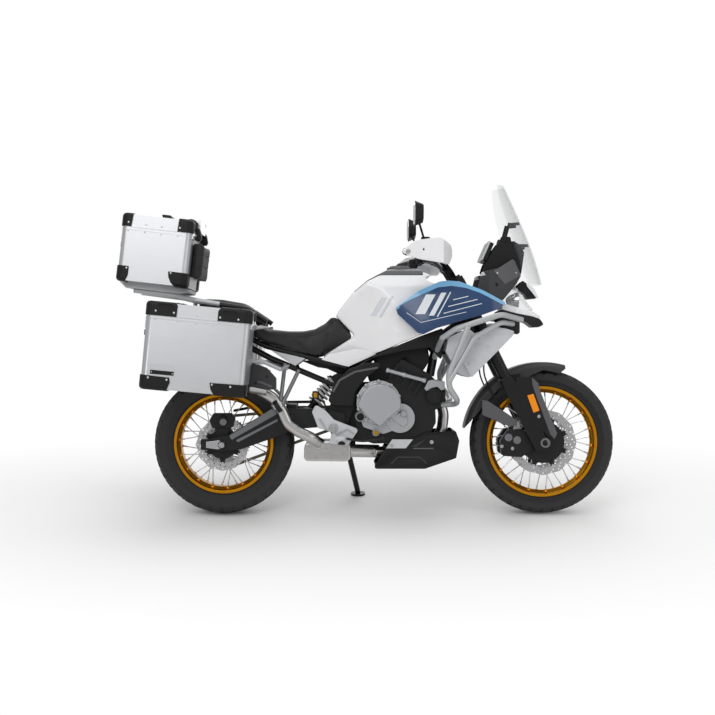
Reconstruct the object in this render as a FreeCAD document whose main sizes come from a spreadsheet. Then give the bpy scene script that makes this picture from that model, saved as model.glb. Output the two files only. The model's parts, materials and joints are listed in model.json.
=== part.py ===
"""Adventure motorcycle with luggage cases, parked on its side stand.

Bike frame: +X forward, +Y left, +Z up, origin on the ground below the rear axle, millimetres.
Every sub-part is built upright in the bike frame and then leaned onto the side stand by its Placement.
"""
import FreeCAD, Part
import math
import os

from FreeCAD import Placement, Rotation, Vector

doc = FreeCAD.newDocument("AdventureMotorcycle")
sheet = doc.addObject("Spreadsheet::Sheet", "Sizes")

# alias, value, meaning
SIZES = (
    ("wheelbase", 1453, "rear axle to front axle"),
    ("rake_angle", 26, "degrees of the steering axis from upright"),
    ("steering_offset", 60, "steering axis to front axle"),
    ("clamp_offset", 30, "steering axis to fork leg axes"),
    ("lean_angle", 10, "degrees of lean on the side stand"),
    ("running_fit", 0.05, "radial play of a shaft in its bore"),
    ("seat_gap", 0.3, "gap between pieces that seat on each other"),
    ("moving_gap", 5.5, "gap between pieces that move past each other"),
    ("front_tyre_radius", 329.3, "19 inch front tyre"),
    ("front_tyre_width", 110, "front tyre section"),
    ("front_shoulder_radius", 293, "widest part of the front tyre"),
    ("front_rim_radius", 254, "front rim flange"),
    ("front_rim_width", 68, "front rim over its flanges"),
    ("rear_tyre_radius", 321, "17 inch rear tyre"),
    ("rear_tyre_width", 150, "rear tyre section"),
    ("rear_shoulder_radius", 281, "widest part of the rear tyre"),
    ("rear_rim_radius", 228, "rear rim flange"),
    ("rear_rim_width", 116, "rear rim over its flanges"),
    ("rim_flange_height", 11, "flange above the bead seat"),
    ("rim_well_depth", 26, "flange to the bottom of the rim well"),
    ("rim_wall", 5, "rim metal"),
    ("axle_radius", 12.5, "both wheel axles"),
    ("spoke_radius", 2.2, "wire spokes"),
    ("spoke_pairs", 9, "crossed pairs on each side of a wheel"),
    ("front_hub_radius", 34, "front hub barrel"),
    ("rear_hub_radius", 44, "rear hub barrel"),
    ("hub_flange_height", 14, "spoke flange above the hub barrel"),
    ("front_disc_radius", 150, "front brake discs"),
    ("rear_disc_radius", 120, "rear brake disc"),
    ("disc_thickness", 4.5, "brake discs"),
    ("disc_band", 34, "radial width of the braking band"),
    ("front_disc_place", 67, "middle of each front disc from the centre plane"),
    ("rear_disc_place", 92, "middle of the rear disc from the centre plane"),
    ("chain_place", 94, "middle of the chain from the centre plane"),
    ("chain_pitch", 15.875, "roller to roller"),
    ("rear_sprocket_teeth", 46, "teeth of the rear sprocket"),
    ("front_sprocket_teeth", 16, "teeth of the front sprocket"),
    ("fork_spread", 200, "between the fork leg axes"),
    ("fork_tube_radius", 27, "outer fork tubes"),
    ("slider_radius", 21.5, "inner fork tubes"),
    ("stem_radius", 15, "steering stem"),
    ("head_tube_radius", 31, "steering head tube"),
    ("head_tube_bottom", 622, "lower end of the head tube along the steering axis"),
    ("head_tube_length", 172, "steering head tube"),
    ("fork_top", 842, "top of the fork legs along the steering axis"),
    ("clamp_thickness", 30, "fork clamps"),
    ("bar_radius", 11, "handlebar tube"),
    ("bar_half_width", 420, "handlebar, centre to end"),
    ("grip_radius", 17, "handlebar grips"),
    ("grip_length", 125, "handlebar grips"),
    ("frame_tube_radius", 17, "main frame tubes"),
    ("frame_half_width", 105, "main frame tubes from the centre plane"),
    ("subframe_tube_radius", 11, "subframe tubes"),
    ("subframe_half_width", 118, "subframe tubes from the centre plane"),
    ("pivot_place", 520, "swingarm pivot ahead of the rear axle"),
    ("pivot_height", 446, "swingarm pivot above the ground"),
    ("pivot_radius", 14, "swingarm pivot shaft"),
    ("swingarm_thickness", 26, "each swingarm side"),
    ("swingarm_half_width", 134, "outside of the swingarm"),
    ("engine_half_width", 128, "crankcase"),
    ("clutch_cover_radius", 99, "clutch cover"),
    ("cover_depth", 62, "engine covers outside the crankcase"),
    ("header_radius", 18, "exhaust header pipes"),
    ("exhaust_radius", 22, "exhaust pipe to the muffler"),
    ("muffler_half_height", 58, "muffler"),
    ("muffler_half_width", 46, "muffler"),
    ("skid_wall", 4, "skid plate"),
    ("skid_half_width", 142, "outside of the skid plate"),
    ("tank_half_width", 160, "fuel tank"),
    ("panel_half_width", 226, "front side panels"),
    ("panel_wall", 4, "plastic panels"),
    ("cover_half_width", 232, "radiator covers"),
    ("radiator_half_width", 150, "radiator"),
    ("radiator_thickness", 34, "radiator"),
    ("beak_half_width", 92, "beak"),
    ("screen_thickness", 4, "windscreen"),
    ("crash_bar_radius", 12.5, "crash bars"),
    ("crash_bar_half_width", 300, "crash bars from the centre plane"),
    ("seat_half_width", 150, "rider seat"),
    ("rear_seat_half_width", 138, "passenger seat"),
    ("stand_spread", 290, "side stand foot from the centre plane"),
    ("stand_lead", 52, "side stand foot ahead of its pivot"),
    ("stand_foot_radius", 34, "side stand foot"),
    ("stand_pin_radius", 6.5, "side stand pivot pin"),
    ("stand_radius", 13, "side stand leg"),
    ("case_wall", 3, "luggage case sheet"),
    ("case_corner_radius", 26, "upright edges of the luggage cases"),
    ("top_case_length", 309, "top case"),
    ("top_case_half_width", 212, "top case"),
    ("top_case_height", 294, "top case with its lid"),
    ("side_case_length", 441, "side cases"),
    ("side_case_height", 364, "side cases with their lids"),
    ("side_case_inside", 242, "inner face of the side cases from the centre plane"),
    ("side_case_depth", 233, "side cases"),
    ("lid_height", 59, "luggage lids"),
    ("hinge_pin_radius", 3, "lid hinge pins"),
    ("hinge_barrel_radius", 6.5, "lid hinge barrels"),
    ("carrier_radius", 8, "side case carrier tubes"),
)
for row, (alias, amount, meaning) in enumerate(SIZES, start=1):
    sheet.set("A%d" % row, str(amount))
    sheet.setAlias("A%d" % row, alias)
    sheet.set("B%d" % row, meaning)
doc.recompute()


def size(alias):
    return float(getattr(sheet, alias))


ALONG_X = Vector(1, 0, 0)
ALONG_Y = Vector(0, 1, 0)
ALONG_Z = Vector(0, 0, 1)
SIDES = ((-1, "Right"), (1, "Left"))

# the outlines forward of the swingarm pivot are drawn for this wheelbase and stretch with it
DRAWN_PIVOT = 520.0
DRAWN_FRONT_AXLE = 1453.0


def station(x):
    """X of an outline point, following the swingarm pivot and the front axle."""
    if x <= 0:
        return x
    if x <= DRAWN_PIVOT:
        return x * size("pivot_place") / DRAWN_PIVOT
    reach = (size("wheelbase") - size("pivot_place")) / (DRAWN_FRONT_AXLE - DRAWN_PIVOT)
    return size("pivot_place") + (x - DRAWN_PIVOT) * reach


# ---------------------------------------------------------------- building blocks

def cylinder(name, radius, length, start, along=ALONG_Z):
    """A Part::Cylinder with bound sizes; radius and length are expressions."""
    piece = doc.addObject("Part::Cylinder", name)
    piece.setExpression("Radius", radius)
    piece.setExpression("Height", length)
    piece.Placement = Placement(Vector(*start), Rotation(ALONG_Z, Vector(*along)))
    return piece


def rod(name, radius, start, end):
    """A straight round bar between two points."""
    start = Vector(*start)
    end = Vector(*end)
    piece = doc.addObject("Part::Cylinder", name)
    piece.setExpression("Radius", radius)
    piece.Height = (end - start).Length
    piece.Placement = Placement(start, Rotation(ALONG_Z, end - start))
    return piece


def box(name, low, high):
    piece = doc.addObject("Part::Box", name)
    piece.Length = high[0] - low[0]
    piece.Width = high[1] - low[1]
    piece.Height = high[2] - low[2]
    piece.Placement = Placement(Vector(*low), Rotation())
    return piece


def sketch(name, points, placement):
    """A closed outline of straight lines through flat (u, v) points."""
    drawing = doc.addObject("Sketcher::SketchObject", name)
    corners = [Vector(u, v, 0) for u, v in points]
    for first, second in zip(corners, corners[1:] + corners[:1]):
        drawing.addGeometry(Part.LineSegment(first, second), False)
    drawing.Placement = placement
    return drawing


def rounded(points, radius):
    """Lines and arcs of a closed outline whose corners are rounded as far as they allow."""
    corners = [Vector(u, v, 0) for u, v in points]
    count = len(corners)
    pieces = []
    joints = []
    for index, corner in enumerate(corners):
        back = corners[index - 1] - corner
        ahead = corners[(index + 1) % count] - corner
        half_turn = back.getAngle(ahead) / 2
        reach = min(radius / math.tan(half_turn), 0.45 * back.Length, 0.45 * ahead.Length)
        actual = reach * math.tan(half_turn)
        back.normalize()
        ahead.normalize()
        middle = (back + ahead).normalize()
        apex = corner + middle * (actual / math.sin(half_turn) - actual)
        joints.append((corner + back * reach, apex, corner + ahead * reach))
    for index, (enter, apex, leave) in enumerate(joints):
        pieces.append(Part.Arc(enter, apex, leave))
        pieces.append(Part.LineSegment(leave, joints[(index + 1) % count][0]))
    return pieces


def outline_sketch(name, points, radius, placement):
    """A closed outline; radius 0 leaves its corners sharp."""
    if radius == 0:
        return sketch(name, points, placement)
    drawing = doc.addObject("Sketcher::SketchObject", name)
    for piece in rounded(points, radius):
        drawing.addGeometry(piece, False)
    drawing.Placement = placement
    return drawing


def extrusion(name, drawing, direction, length):
    piece = doc.addObject("Part::Extrusion", name)
    piece.Base = drawing
    piece.DirMode = "Custom"
    piece.Dir = direction
    piece.LengthFwd = length
    piece.Solid = True
    return piece


def slab(name, side_outline, low_y, high_y, radius=0):
    """A plate with an outline of (x, z) stations, from low_y to high_y."""
    points = [(station(x), z) for x, z in side_outline]
    place = Placement(Vector(0, low_y, 0), Rotation(ALONG_X, 90))
    drawing = outline_sketch(name + "Outline", points, radius, place)
    return extrusion(name, drawing, ALONG_Y, high_y - low_y)


def plan(name, plan_outline, low_z, high_z, radius=0):
    """A plate with an outline of (x, y) stations, from low_z to high_z."""
    points = [(station(x), y) for x, y in plan_outline]
    place = Placement(Vector(0, 0, low_z), Rotation())
    drawing = outline_sketch(name + "Outline", points, radius, place)
    return extrusion(name, drawing, ALONG_Z, high_z - low_z)


def front(name, front_outline, low_x, high_x, radius=0):
    """A block with an outline of (y, z) points, between two stations along X."""
    place = Placement(Vector(station(low_x), 0, 0), Rotation(ALONG_Y, ALONG_Z, ALONG_X, "XYZ"))
    drawing = outline_sketch(name + "Outline", front_outline, radius, place)
    return extrusion(name, drawing, ALONG_X, station(high_x) - station(low_x))


def both_ways(half_outline):
    """A plan outline from (x, half width) points, closed over both sides."""
    return [(x, y) for x, y in half_outline] + [(x, -y) for x, y in reversed(half_outline)]


def tube(name, radius, points, bend):
    """A round bar swept along straight runs joined by arcs; radius is an expression."""
    corners = [Vector(*point) for point in points]
    edges = []
    start = corners[0]
    for before, corner, after in zip(corners, corners[1:], corners[2:]):
        back = before - corner
        ahead = after - corner
        half_turn = back.getAngle(ahead) / 2
        reach = min(bend / math.tan(half_turn), 0.45 * back.Length, 0.45 * ahead.Length)
        actual = reach * math.tan(half_turn)
        back.normalize()
        ahead.normalize()
        middle = (back + ahead).normalize()
        enter = corner + back * reach
        leave = corner + ahead * reach
        apex = corner + middle * (actual / math.sin(half_turn) - actual)
        edges.append(Part.LineSegment(start, enter).toShape())
        edges.append(Part.Arc(enter, apex, leave).toShape())
        start = leave
    edges.append(Part.LineSegment(start, corners[-1]).toShape())
    route = doc.addObject("Part::Feature", name + "Route")
    route.Shape = Part.Wire(edges)
    ring = doc.addObject("Part::Circle", name + "Ring")
    ring.setExpression("Radius", radius)
    ring.Placement = Placement(corners[0], Rotation(ALONG_Z, corners[1] - corners[0]))
    piece = doc.addObject("Part::Sweep", name)
    piece.Sections = [ring]
    piece.Spine = (route, ["Edge%d" % (index + 1) for index in range(len(edges))])
    piece.Solid = True
    return piece


def turned(name, half_profile, centre, radius=0):
    """A ring or disc about an axle along Y, from a closed (distance, y) profile."""
    drawing = outline_sketch(name + "Profile", half_profile, radius, Placement())
    piece = doc.addObject("Part::Revolution", name)
    piece.Source = drawing
    piece.Axis = ALONG_Y
    piece.Base = Vector(0, 0, 0)
    piece.Angle = 360
    piece.Solid = True
    piece.Placement = Placement(Vector(*centre), Rotation())
    return piece


def fuse(name, pieces):
    if len(pieces) == 1:
        return pieces[0]
    whole = doc.addObject("Part::MultiFuse", name)
    whole.Shapes = pieces
    whole.Refine = False
    return whole


def common(name, pieces):
    whole = doc.addObject("Part::MultiCommon", name)
    whole.Shapes = pieces
    return whole


def cut(name, base, tool):
    left = doc.addObject("Part::Cut", name)
    left.Base = base
    left.Tool = tool
    return left


def together(name, pieces):
    group = doc.addObject("Part::Compound", name)
    group.Links = pieces
    return group


# ---------------------------------------------------------------- driving places

LEAN = math.radians(size("lean_angle"))
RAKE = math.radians(size("rake_angle"))
UP_FORK = Vector(-math.sin(RAKE), 0, math.cos(RAKE))
AHEAD_OF_FORK = Vector(math.cos(RAKE), 0, math.sin(RAKE))
REAR_AXLE = Vector(0, 0, size("rear_tyre_radius"))
FRONT_AXLE = Vector(size("wheelbase"), 0, size("front_tyre_radius"))
PIVOT = Vector(size("pivot_place"), 0, size("pivot_height"))
FORK_SIDE = size("fork_spread") / 2
GAP = size("seat_gap")
STAND_TILT = math.radians(17)
STAND_AXIS = Vector(0, math.cos(STAND_TILT), math.sin(STAND_TILT))
STAND_ROOT = Vector(station(560), size("frame_half_width") + 8, 278)


def crown_radius(end):
    """Radius of the tyre's crown across the tread."""
    half = size(end + "_tyre_width") / 2
    rise = size(end + "_tyre_radius") - size(end + "_shoulder_radius")
    return (half * half + rise * rise) / (2 * rise)


# a leaned round crown reaches this far below the bike frame's ground line
FLOOR_DROP = (crown_radius("rear") + crown_radius("front")) / 2 * (1 - math.cos(LEAN))
FLOOR_UP = Vector(0, -math.sin(LEAN), math.cos(LEAN))
STAND_EYE = STAND_ROOT + STAND_AXIS * 45.5
STAND_FOOT = Vector(STAND_EYE.x + size("stand_lead"), size("stand_spread"),
                    size("stand_spread") * math.tan(LEAN) - FLOOR_DROP / math.cos(LEAN))
HEAD_BOTTOM = size("head_tube_bottom")
HEAD_TOP = HEAD_BOTTOM + size("head_tube_length")
# the fork clamps reach this far outside and ahead of the fork tubes' centres
CLAMP_EAR = 34
CLAMP_LIP = 22


def on_steering(up, ahead=0, side=0):
    """A point by its distance up the steering axis, ahead of it and to the left of it."""
    foot = FRONT_AXLE - AHEAD_OF_FORK * size("steering_offset")
    return foot + UP_FORK * up + AHEAD_OF_FORK * ahead + ALONG_Y * side


def across(name, radius, length, x, z):
    """A cylinder centred on the mid-plane with its axis across the bike."""
    piece = doc.addObject("Part::Cylinder", name)
    piece.setExpression("Radius", radius)
    piece.setExpression("Height", length)
    piece.recompute()
    piece.Placement = Placement(Vector(x, float(piece.Height) / 2, z), Rotation(ALONG_X, 90))
    return piece


# ---------------------------------------------------------------- wheels

def make_tyre(end, centre):
    outer = size(end + "_tyre_radius")
    shoulder = size(end + "_shoulder_radius")
    half = size(end + "_tyre_width") / 2
    seat = size(end + "_rim_radius") - size("rim_flange_height") + size("running_fit")
    bead = size(end + "_rim_width") / 2 - size("rim_wall") - GAP
    profile = doc.addObject("Sketcher::SketchObject", end.title() + "TyreProfile")
    lip = seat + size("rim_flange_height") + 3
    left = (Vector(seat, bead, 0), Vector(lip, bead, 0), Vector(shoulder, half, 0))
    right = (Vector(seat, -bead, 0), Vector(lip, -bead, 0), Vector(shoulder, -half, 0))
    wall = Vector((lip + shoulder) / 2 - 3, (bead + half) / 2 + 6, 0)
    other_wall = Vector(wall.x, -wall.y, 0)
    profile.addGeometry(Part.LineSegment(left[0], left[1]), False)
    profile.addGeometry(Part.Arc(left[1], wall, left[2]), False)
    profile.addGeometry(Part.Arc(left[2], Vector(outer, 0, 0), right[2]), False)
    profile.addGeometry(Part.Arc(right[2], other_wall, right[1]), False)
    profile.addGeometry(Part.LineSegment(right[1], right[0]), False)
    profile.addGeometry(Part.LineSegment(right[0], left[0]), False)
    tyre = doc.addObject("Part::Revolution", end.title() + "TyreRing")
    tyre.Source = profile
    tyre.Axis = ALONG_Y
    tyre.Angle = 360
    tyre.Solid = True
    tyre.Placement = Placement(centre, Rotation())
    return tyre


def make_rim(end, centre):
    flange = size(end + "_rim_radius")
    half = size(end + "_rim_width") / 2
    wall = size("rim_wall")
    seat = flange - size("rim_flange_height")
    well = flange - size("rim_well_depth")
    # (distance from the axle, half width): outside of the left half, then back along the inside
    top = ((flange, half), (flange, half - wall), (seat, half - wall), (seat, half - wall - 12), (well, half - wall - 20))
    under = ((well - wall, half - wall - 17), (seat - wall, half - wall - 8), (seat - wall, half))
    profile = [(r, -y) for r, y in top] + [(r, y) for r, y in reversed(top)]
    profile += [(r, y) for r, y in reversed(under)] + [(r, -y) for r, y in under]
    return turned(end.title() + "RimRing", profile, centre)


def make_spokes(end, centre, flange_place):
    """Crossed pairs of wire spokes from the hub flanges to the rim well."""
    hub = size(end + "_hub_radius") + size("hub_flange_height") / 2
    rim = size(end + "_rim_radius") - size("rim_well_depth") - size("rim_wall") - 2 * GAP
    pairs = int(size("spoke_pairs"))
    spokes = []
    for side, side_name in SIDES:
        for pair in range(pairs):
            middle = 2 * math.pi * (pair + (side > 0) / 2) / pairs
            for lean in (-1, 1):
                hub_angle = middle + lean * 0.62
                rim_angle = middle - lean * 0.09
                start = (hub * math.cos(hub_angle), side * (flange_place + lean * 1.5), hub * math.sin(hub_angle))
                end_point = (rim * math.cos(rim_angle), side * (10 + lean * 4), rim * math.sin(rim_angle))
                name = "%sSpoke%s%d%s" % (end.title(), side_name, pair, "A" if lean < 0 else "B")
                start = Vector(*start) + centre
                end_point = Vector(*end_point) + centre
                spoke = doc.addObject("Part::Prism", name)
                spoke.Polygon = 6
                spoke.setExpression("Circumradius", "Sizes.spoke_radius")
                spoke.Height = (end_point - start).Length
                spoke.Placement = Placement(start, Rotation(ALONG_Z, end_point - start))
                spokes.append(spoke)
    return spokes


def make_disc(name, disc_radius, side_place, centre, carrier):
    """A brake disc: braking band, tabs and the carrier ring inside it."""
    outer = size(disc_radius)
    inner = outer - size("disc_band")
    half = size("disc_thickness") / 2
    band = turned(name + "Band", ((inner, -half), (outer, -half), (outer, half), (inner, half)),
                  centre + ALONG_Y * side_place)
    ring_outer = inner - 9
    ring = turned(name + "Carrier", ((carrier, -half), (ring_outer, -half), (ring_outer, half), (carrier, half)),
                  centre + ALONG_Y * side_place)
    pieces = [band, ring]
    for tab in range(6):
        angle = 60 * tab + 15
        link = box("%sTab%d" % (name, tab), (ring_outer - 8, -half, -9), (inner + 6, half, 9))
        turn = Placement(centre + ALONG_Y * side_place, Rotation(ALONG_Y, angle))
        link.Placement = turn.multiply(Placement(Vector(ring_outer - 8, -half, -9), Rotation()))
        pieces.append(link)
    return fuse(name, pieces)


def make_front_hub():
    disc_inside = size("front_disc_place") - size("disc_thickness") / 2
    flange_place = 34
    hub = size("front_hub_radius")
    tall = hub + size("hub_flange_height")
    bore = size("axle_radius") + size("running_fit")
    half_profile = ((bore, disc_inside), (hub, disc_inside), (hub, flange_place + 4), (tall, flange_place + 3),
                    (tall, flange_place - 3), (hub - 4, flange_place - 6))
    profile = [(r, y) for r, y in half_profile] + [(r, -y) for r, y in reversed(half_profile)]
    barrel = turned("FrontHubBarrel", profile, FRONT_AXLE)
    return fuse("FrontHub", [barrel] + make_spokes("front", FRONT_AXLE, flange_place))


def make_front_discs():
    discs = []
    carrier = size("axle_radius") + 12
    for side, side_name in SIDES:
        name = "FrontDisc" + side_name
        discs.append(make_disc(name, "front_disc_radius", side * size("front_disc_place"), FRONT_AXLE, carrier))
    return together("FrontDiscPair", discs)


def make_rear_hub():
    disc_inside = size("rear_disc_place") - size("disc_thickness") / 2
    sprocket_inside = size("chain_place") - 3
    flange_place = 40
    hub = size("rear_hub_radius")
    tall = hub + size("hub_flange_height")
    bore = size("axle_radius") + size("running_fit")
    profile = ((bore, -disc_inside), (hub - 8, -disc_inside), (hub, -flange_place - 6), (tall, -flange_place - 3),
               (tall, -flange_place + 3), (hub - 4, -flange_place + 8), (hub - 4, flange_place - 8),
               (tall, flange_place - 3), (tall, flange_place + 3), (hub + 12, flange_place + 8),
               (hub + 12, sprocket_inside), (bore, sprocket_inside))
    barrel = turned("RearHubBarrel", profile, REAR_AXLE)
    return fuse("RearHub", [barrel] + make_spokes("rear", REAR_AXLE, flange_place))


def make_rear_disc():
    centre_ring = size("axle_radius") + 8
    return make_disc("RearDisc", "rear_disc_radius", -size("rear_disc_place"), REAR_AXLE, centre_ring)


# the chain's inner line lies this far inside its pitch line
CHAIN_WAIST = 5.2


def sprocket_pitch_radius(teeth):
    return size("chain_pitch") / (2 * math.sin(math.pi / size(teeth)))


def make_sprocket(name, teeth, centre, thickness, bore, windows):
    """A toothed plate whose teeth stay below the chain rollers."""
    root = sprocket_pitch_radius(teeth) - 11.5
    tip = sprocket_pitch_radius(teeth) - 6.5
    count = int(size(teeth))
    points = []
    for tooth in range(count):
        # angle within the tooth, distance from the shaft
        for turn, distance in ((-0.3, root), (-0.12, tip), (0.12, tip), (0.3, root)):
            angle = 2 * math.pi * (tooth + turn) / count
            points.append((distance * math.cos(angle), distance * math.sin(angle)))
    drawing = sketch(name + "Teeth", points, Placement(Vector(0, -thickness / 2, 0), Rotation(ALONG_X, 90)))
    plate = extrusion(name + "Plate", drawing, ALONG_Y, thickness)
    holes = [across(name + "Bore", str(bore), str(thickness + 10), 0, 0)]
    for window in range(windows):
        angle = 2 * math.pi * window / windows
        reach = root * 0.68
        holes.append(across("%sWindow%d" % (name, window), str(root * 0.15), str(thickness + 10),
                            reach * math.cos(angle), reach * math.sin(angle)))
    sprocket = cut(name, plate, fuse(name + "Holes", holes))
    sprocket.Placement = Placement(centre, Rotation())
    return sprocket


# ---------------------------------------------------------------- steering group

def make_fork():
    """Fork legs, axle feet, clamps, steering stem and front axle."""
    pieces = []
    lead = size("clamp_offset")
    foot_lead = size("steering_offset")
    for side, side_name in SIDES:
        y = side * FORK_SIDE
        pieces.append(rod("ForkTube" + side_name, "Sizes.fork_tube_radius", on_steering(285, lead, y),
                          on_steering(size("fork_top"), lead, y)))
        pieces.append(rod("ForkSlider" + side_name, "Sizes.slider_radius", on_steering(20, lead, y),
                          on_steering(290, lead, y)))
        pieces.append(rod("ForkCap" + side_name, "Sizes.fork_tube_radius - 9", on_steering(size("fork_top") - 1, lead, y),
                          on_steering(size("fork_top") + 9, lead, y)))
        foot = rod("ForkFoot" + side_name, "Sizes.slider_radius + 4", on_steering(-22, lead + 8, y),
                   on_steering(64, lead, y))
        boss = cylinder("AxleBoss" + side_name, "Sizes.axle_radius + 13", "44",
                        FRONT_AXLE + ALONG_Y * (y - 22), ALONG_Y)
        web = rod("FootWeb" + side_name, "Sizes.slider_radius - 2", on_steering(6, lead, y),
                  on_steering(6, foot_lead, y))
        pieces += [foot, boss, web]
    axle = rod("FrontAxle", "Sizes.axle_radius", FRONT_AXLE + ALONG_Y * (FORK_SIDE + 26),
               FRONT_AXLE - ALONG_Y * (FORK_SIDE + 26))
    stem = rod("SteeringStem", "Sizes.stem_radius", on_steering(HEAD_BOTTOM - 20), on_steering(HEAD_TOP + 20))
    pieces += [axle, stem]
    clamp_gap = 2
    for name, low in (("Lower", HEAD_BOTTOM - clamp_gap - size("clamp_thickness")), ("Upper", HEAD_TOP + clamp_gap)):
        ear = FORK_SIDE + CLAMP_EAR
        outline = ((-26, -24), (-26, 24), (lead - 10, ear), (lead + CLAMP_LIP, ear), (lead + 30, FORK_SIDE),
                   (lead + 8, 0), (lead + 30, -FORK_SIDE), (lead + CLAMP_LIP, -ear), (lead - 10, -ear))
        place = Placement(on_steering(low), Rotation(AHEAD_OF_FORK, ALONG_Y, UP_FORK, "ZXY"))
        drawing = outline_sketch("Clamp%sOutline" % name, outline, 12, place)
        pieces.append(extrusion("Clamp" + name, drawing, UP_FORK, size("clamp_thickness")))
    return fuse("Fork", pieces)


# handlebar bends on the left side: station, half width, height
BAR_BENDS = ((1010, 66, 1118), (972, 152, 1166), (922, 235, 1178))
BAR_END = (816, 1163)


def make_handlebar():
    half = size("bar_half_width")
    left = [(station(x), y * half / 420, z) for x, y, z in BAR_BENDS]
    left.append((station(BAR_END[0]), half, BAR_END[1]))
    route = [(x, -y, z) for x, y, z in reversed(left)] + left
    pieces = [tube("BarTube", "Sizes.bar_radius", route, 70)]
    for side, side_name in SIDES:
        inner = Vector(*left[-2])
        outer = Vector(*left[-1])
        direction = (outer - inner).normalize()
        grip_start = outer - direction * (size("grip_length") + 6)
        places = (("Grip", "Sizes.grip_radius", grip_start, outer - direction * 6),
                  ("BarEnd", "Sizes.grip_radius - 3", outer - direction * 6, outer + direction * 8),
                  ("SwitchPod", "Sizes.grip_radius + 5", grip_start - direction * 52, grip_start - direction * 4),
                  ("LeverClamp", "Sizes.bar_radius + 6", grip_start - direction * 84, grip_start - direction * 58))
        for name, radius, start, end in places:
            start = Vector(start.x, side * start.y, start.z)
            end = Vector(end.x, side * end.y, end.z)
            pieces.append(rod(name + side_name, radius, start, end))
        mid = grip_start - direction * 70
        body_start = (mid.x + 12, side * (mid.y + 4), mid.z + 8)
        body_end = (mid.x + 40, side * (mid.y - 46), mid.z + 26)
        pieces.append(rod("Master" + side_name, "13", body_start, body_end))
        lever = [(mid.x + 26, side * (mid.y - 8), mid.z + 10), (mid.x + 34, side * (mid.y + 60), mid.z + 2),
                 (mid.x - 30, side * (mid.y + 190), mid.z - 6)]
        pieces.append(tube("Lever" + side_name, "6", lever, 40))
        riser_top = Vector(station(1010), side * 48, 1118)
        riser_foot = on_steering(HEAD_TOP + size("clamp_thickness"), 14, side * 48)
        pieces.append(rod("Riser" + side_name, "14", riser_foot, riser_top))
        pieces.append(cylinder("RiserClamp" + side_name, "Sizes.bar_radius + 7", "36",
                               riser_top - ALONG_Y * 18, ALONG_Y))
    return fuse("Handlebar", pieces)


def make_handguards():
    """A shell ahead of each grip, bolted to the bar end and to the bar inside the lever."""
    shells = []
    half = size("bar_half_width")
    for side, side_name in SIDES:
        outline = ((812, 1180), (850, 1208), (960, 1226), (1012, 1200), (1024, 1160), (1003, 1112), (880, 1128),
                   (817, 1144))
        side_view = slab("GuardSide" + side_name, outline, *sorted((side * 230, side * (half + 25))), 14)
        outside = ((1019, 236), (1019, 330), (976, half - 6), (878, half + 20), (800, half + 20), (800, half + 12),
                   (873, half + 12), (964, half - 16), (1004, 322), (1009, 236))
        outside = [(x, side * y) for x, y in outside]
        shell = common("GuardShell" + side_name, [side_view, plan("GuardPlan" + side_name, outside, 1090, 1240)])
        inner = (station(1012), side * 262, 1168)
        arm = tube("GuardArm" + side_name, "7",
                   [inner, (station(985), side * 240, 1174), (station(928), side * 246, 1174)], 20)
        end_bolt = Vector(station(BAR_END[0]), 0, BAR_END[1])
        end_lug = rod("GuardEndLug" + side_name, "11", (end_bolt.x - 4, side * (half + 8.5), end_bolt.z),
                      (end_bolt.x - 4, side * (half + 21), end_bolt.z))
        shells.append(fuse("Guard" + side_name, [shell, end_lug, arm]))
    return together("GuardPair", shells)


def make_mirrors():
    mirrors = []
    for side, side_name in SIDES:
        stalk = tube("MirrorStalk" + side_name, "5",
                     [(station(925), side * 236, 1196), (station(900), side * 262, 1235),
                      (station(876), side * 318, 1300)], 40)
        outline = ((-88, -44), (-94, 10), (-70, 50), (20, 56), (84, 44), (96, 8), (82, -40), (20, -54))
        place = Placement(Vector(station(856), side * 335, 1333), Rotation(Vector(0, side, 0), ALONG_Z,
                                                                          Vector(side, 0, 0), "XYZ"))
        drawing = outline_sketch("MirrorOutline" + side_name, outline, 26, place)
        shell = doc.addObject("Part::Extrusion", "MirrorShell" + side_name)
        shell.Base = drawing
        shell.DirMode = "Custom"
        shell.Dir = ALONG_X
        shell.LengthFwd = 36
        shell.TaperAngle = -22
        shell.Solid = True
        foot = rod("MirrorFoot" + side_name, "9", (station(925), side * 236, 1190), (station(925), side * 236, 1206))
        mirrors.append(fuse("Mirror" + side_name, [shell, stalk, foot]))
    return together("MirrorPair", mirrors)


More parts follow.
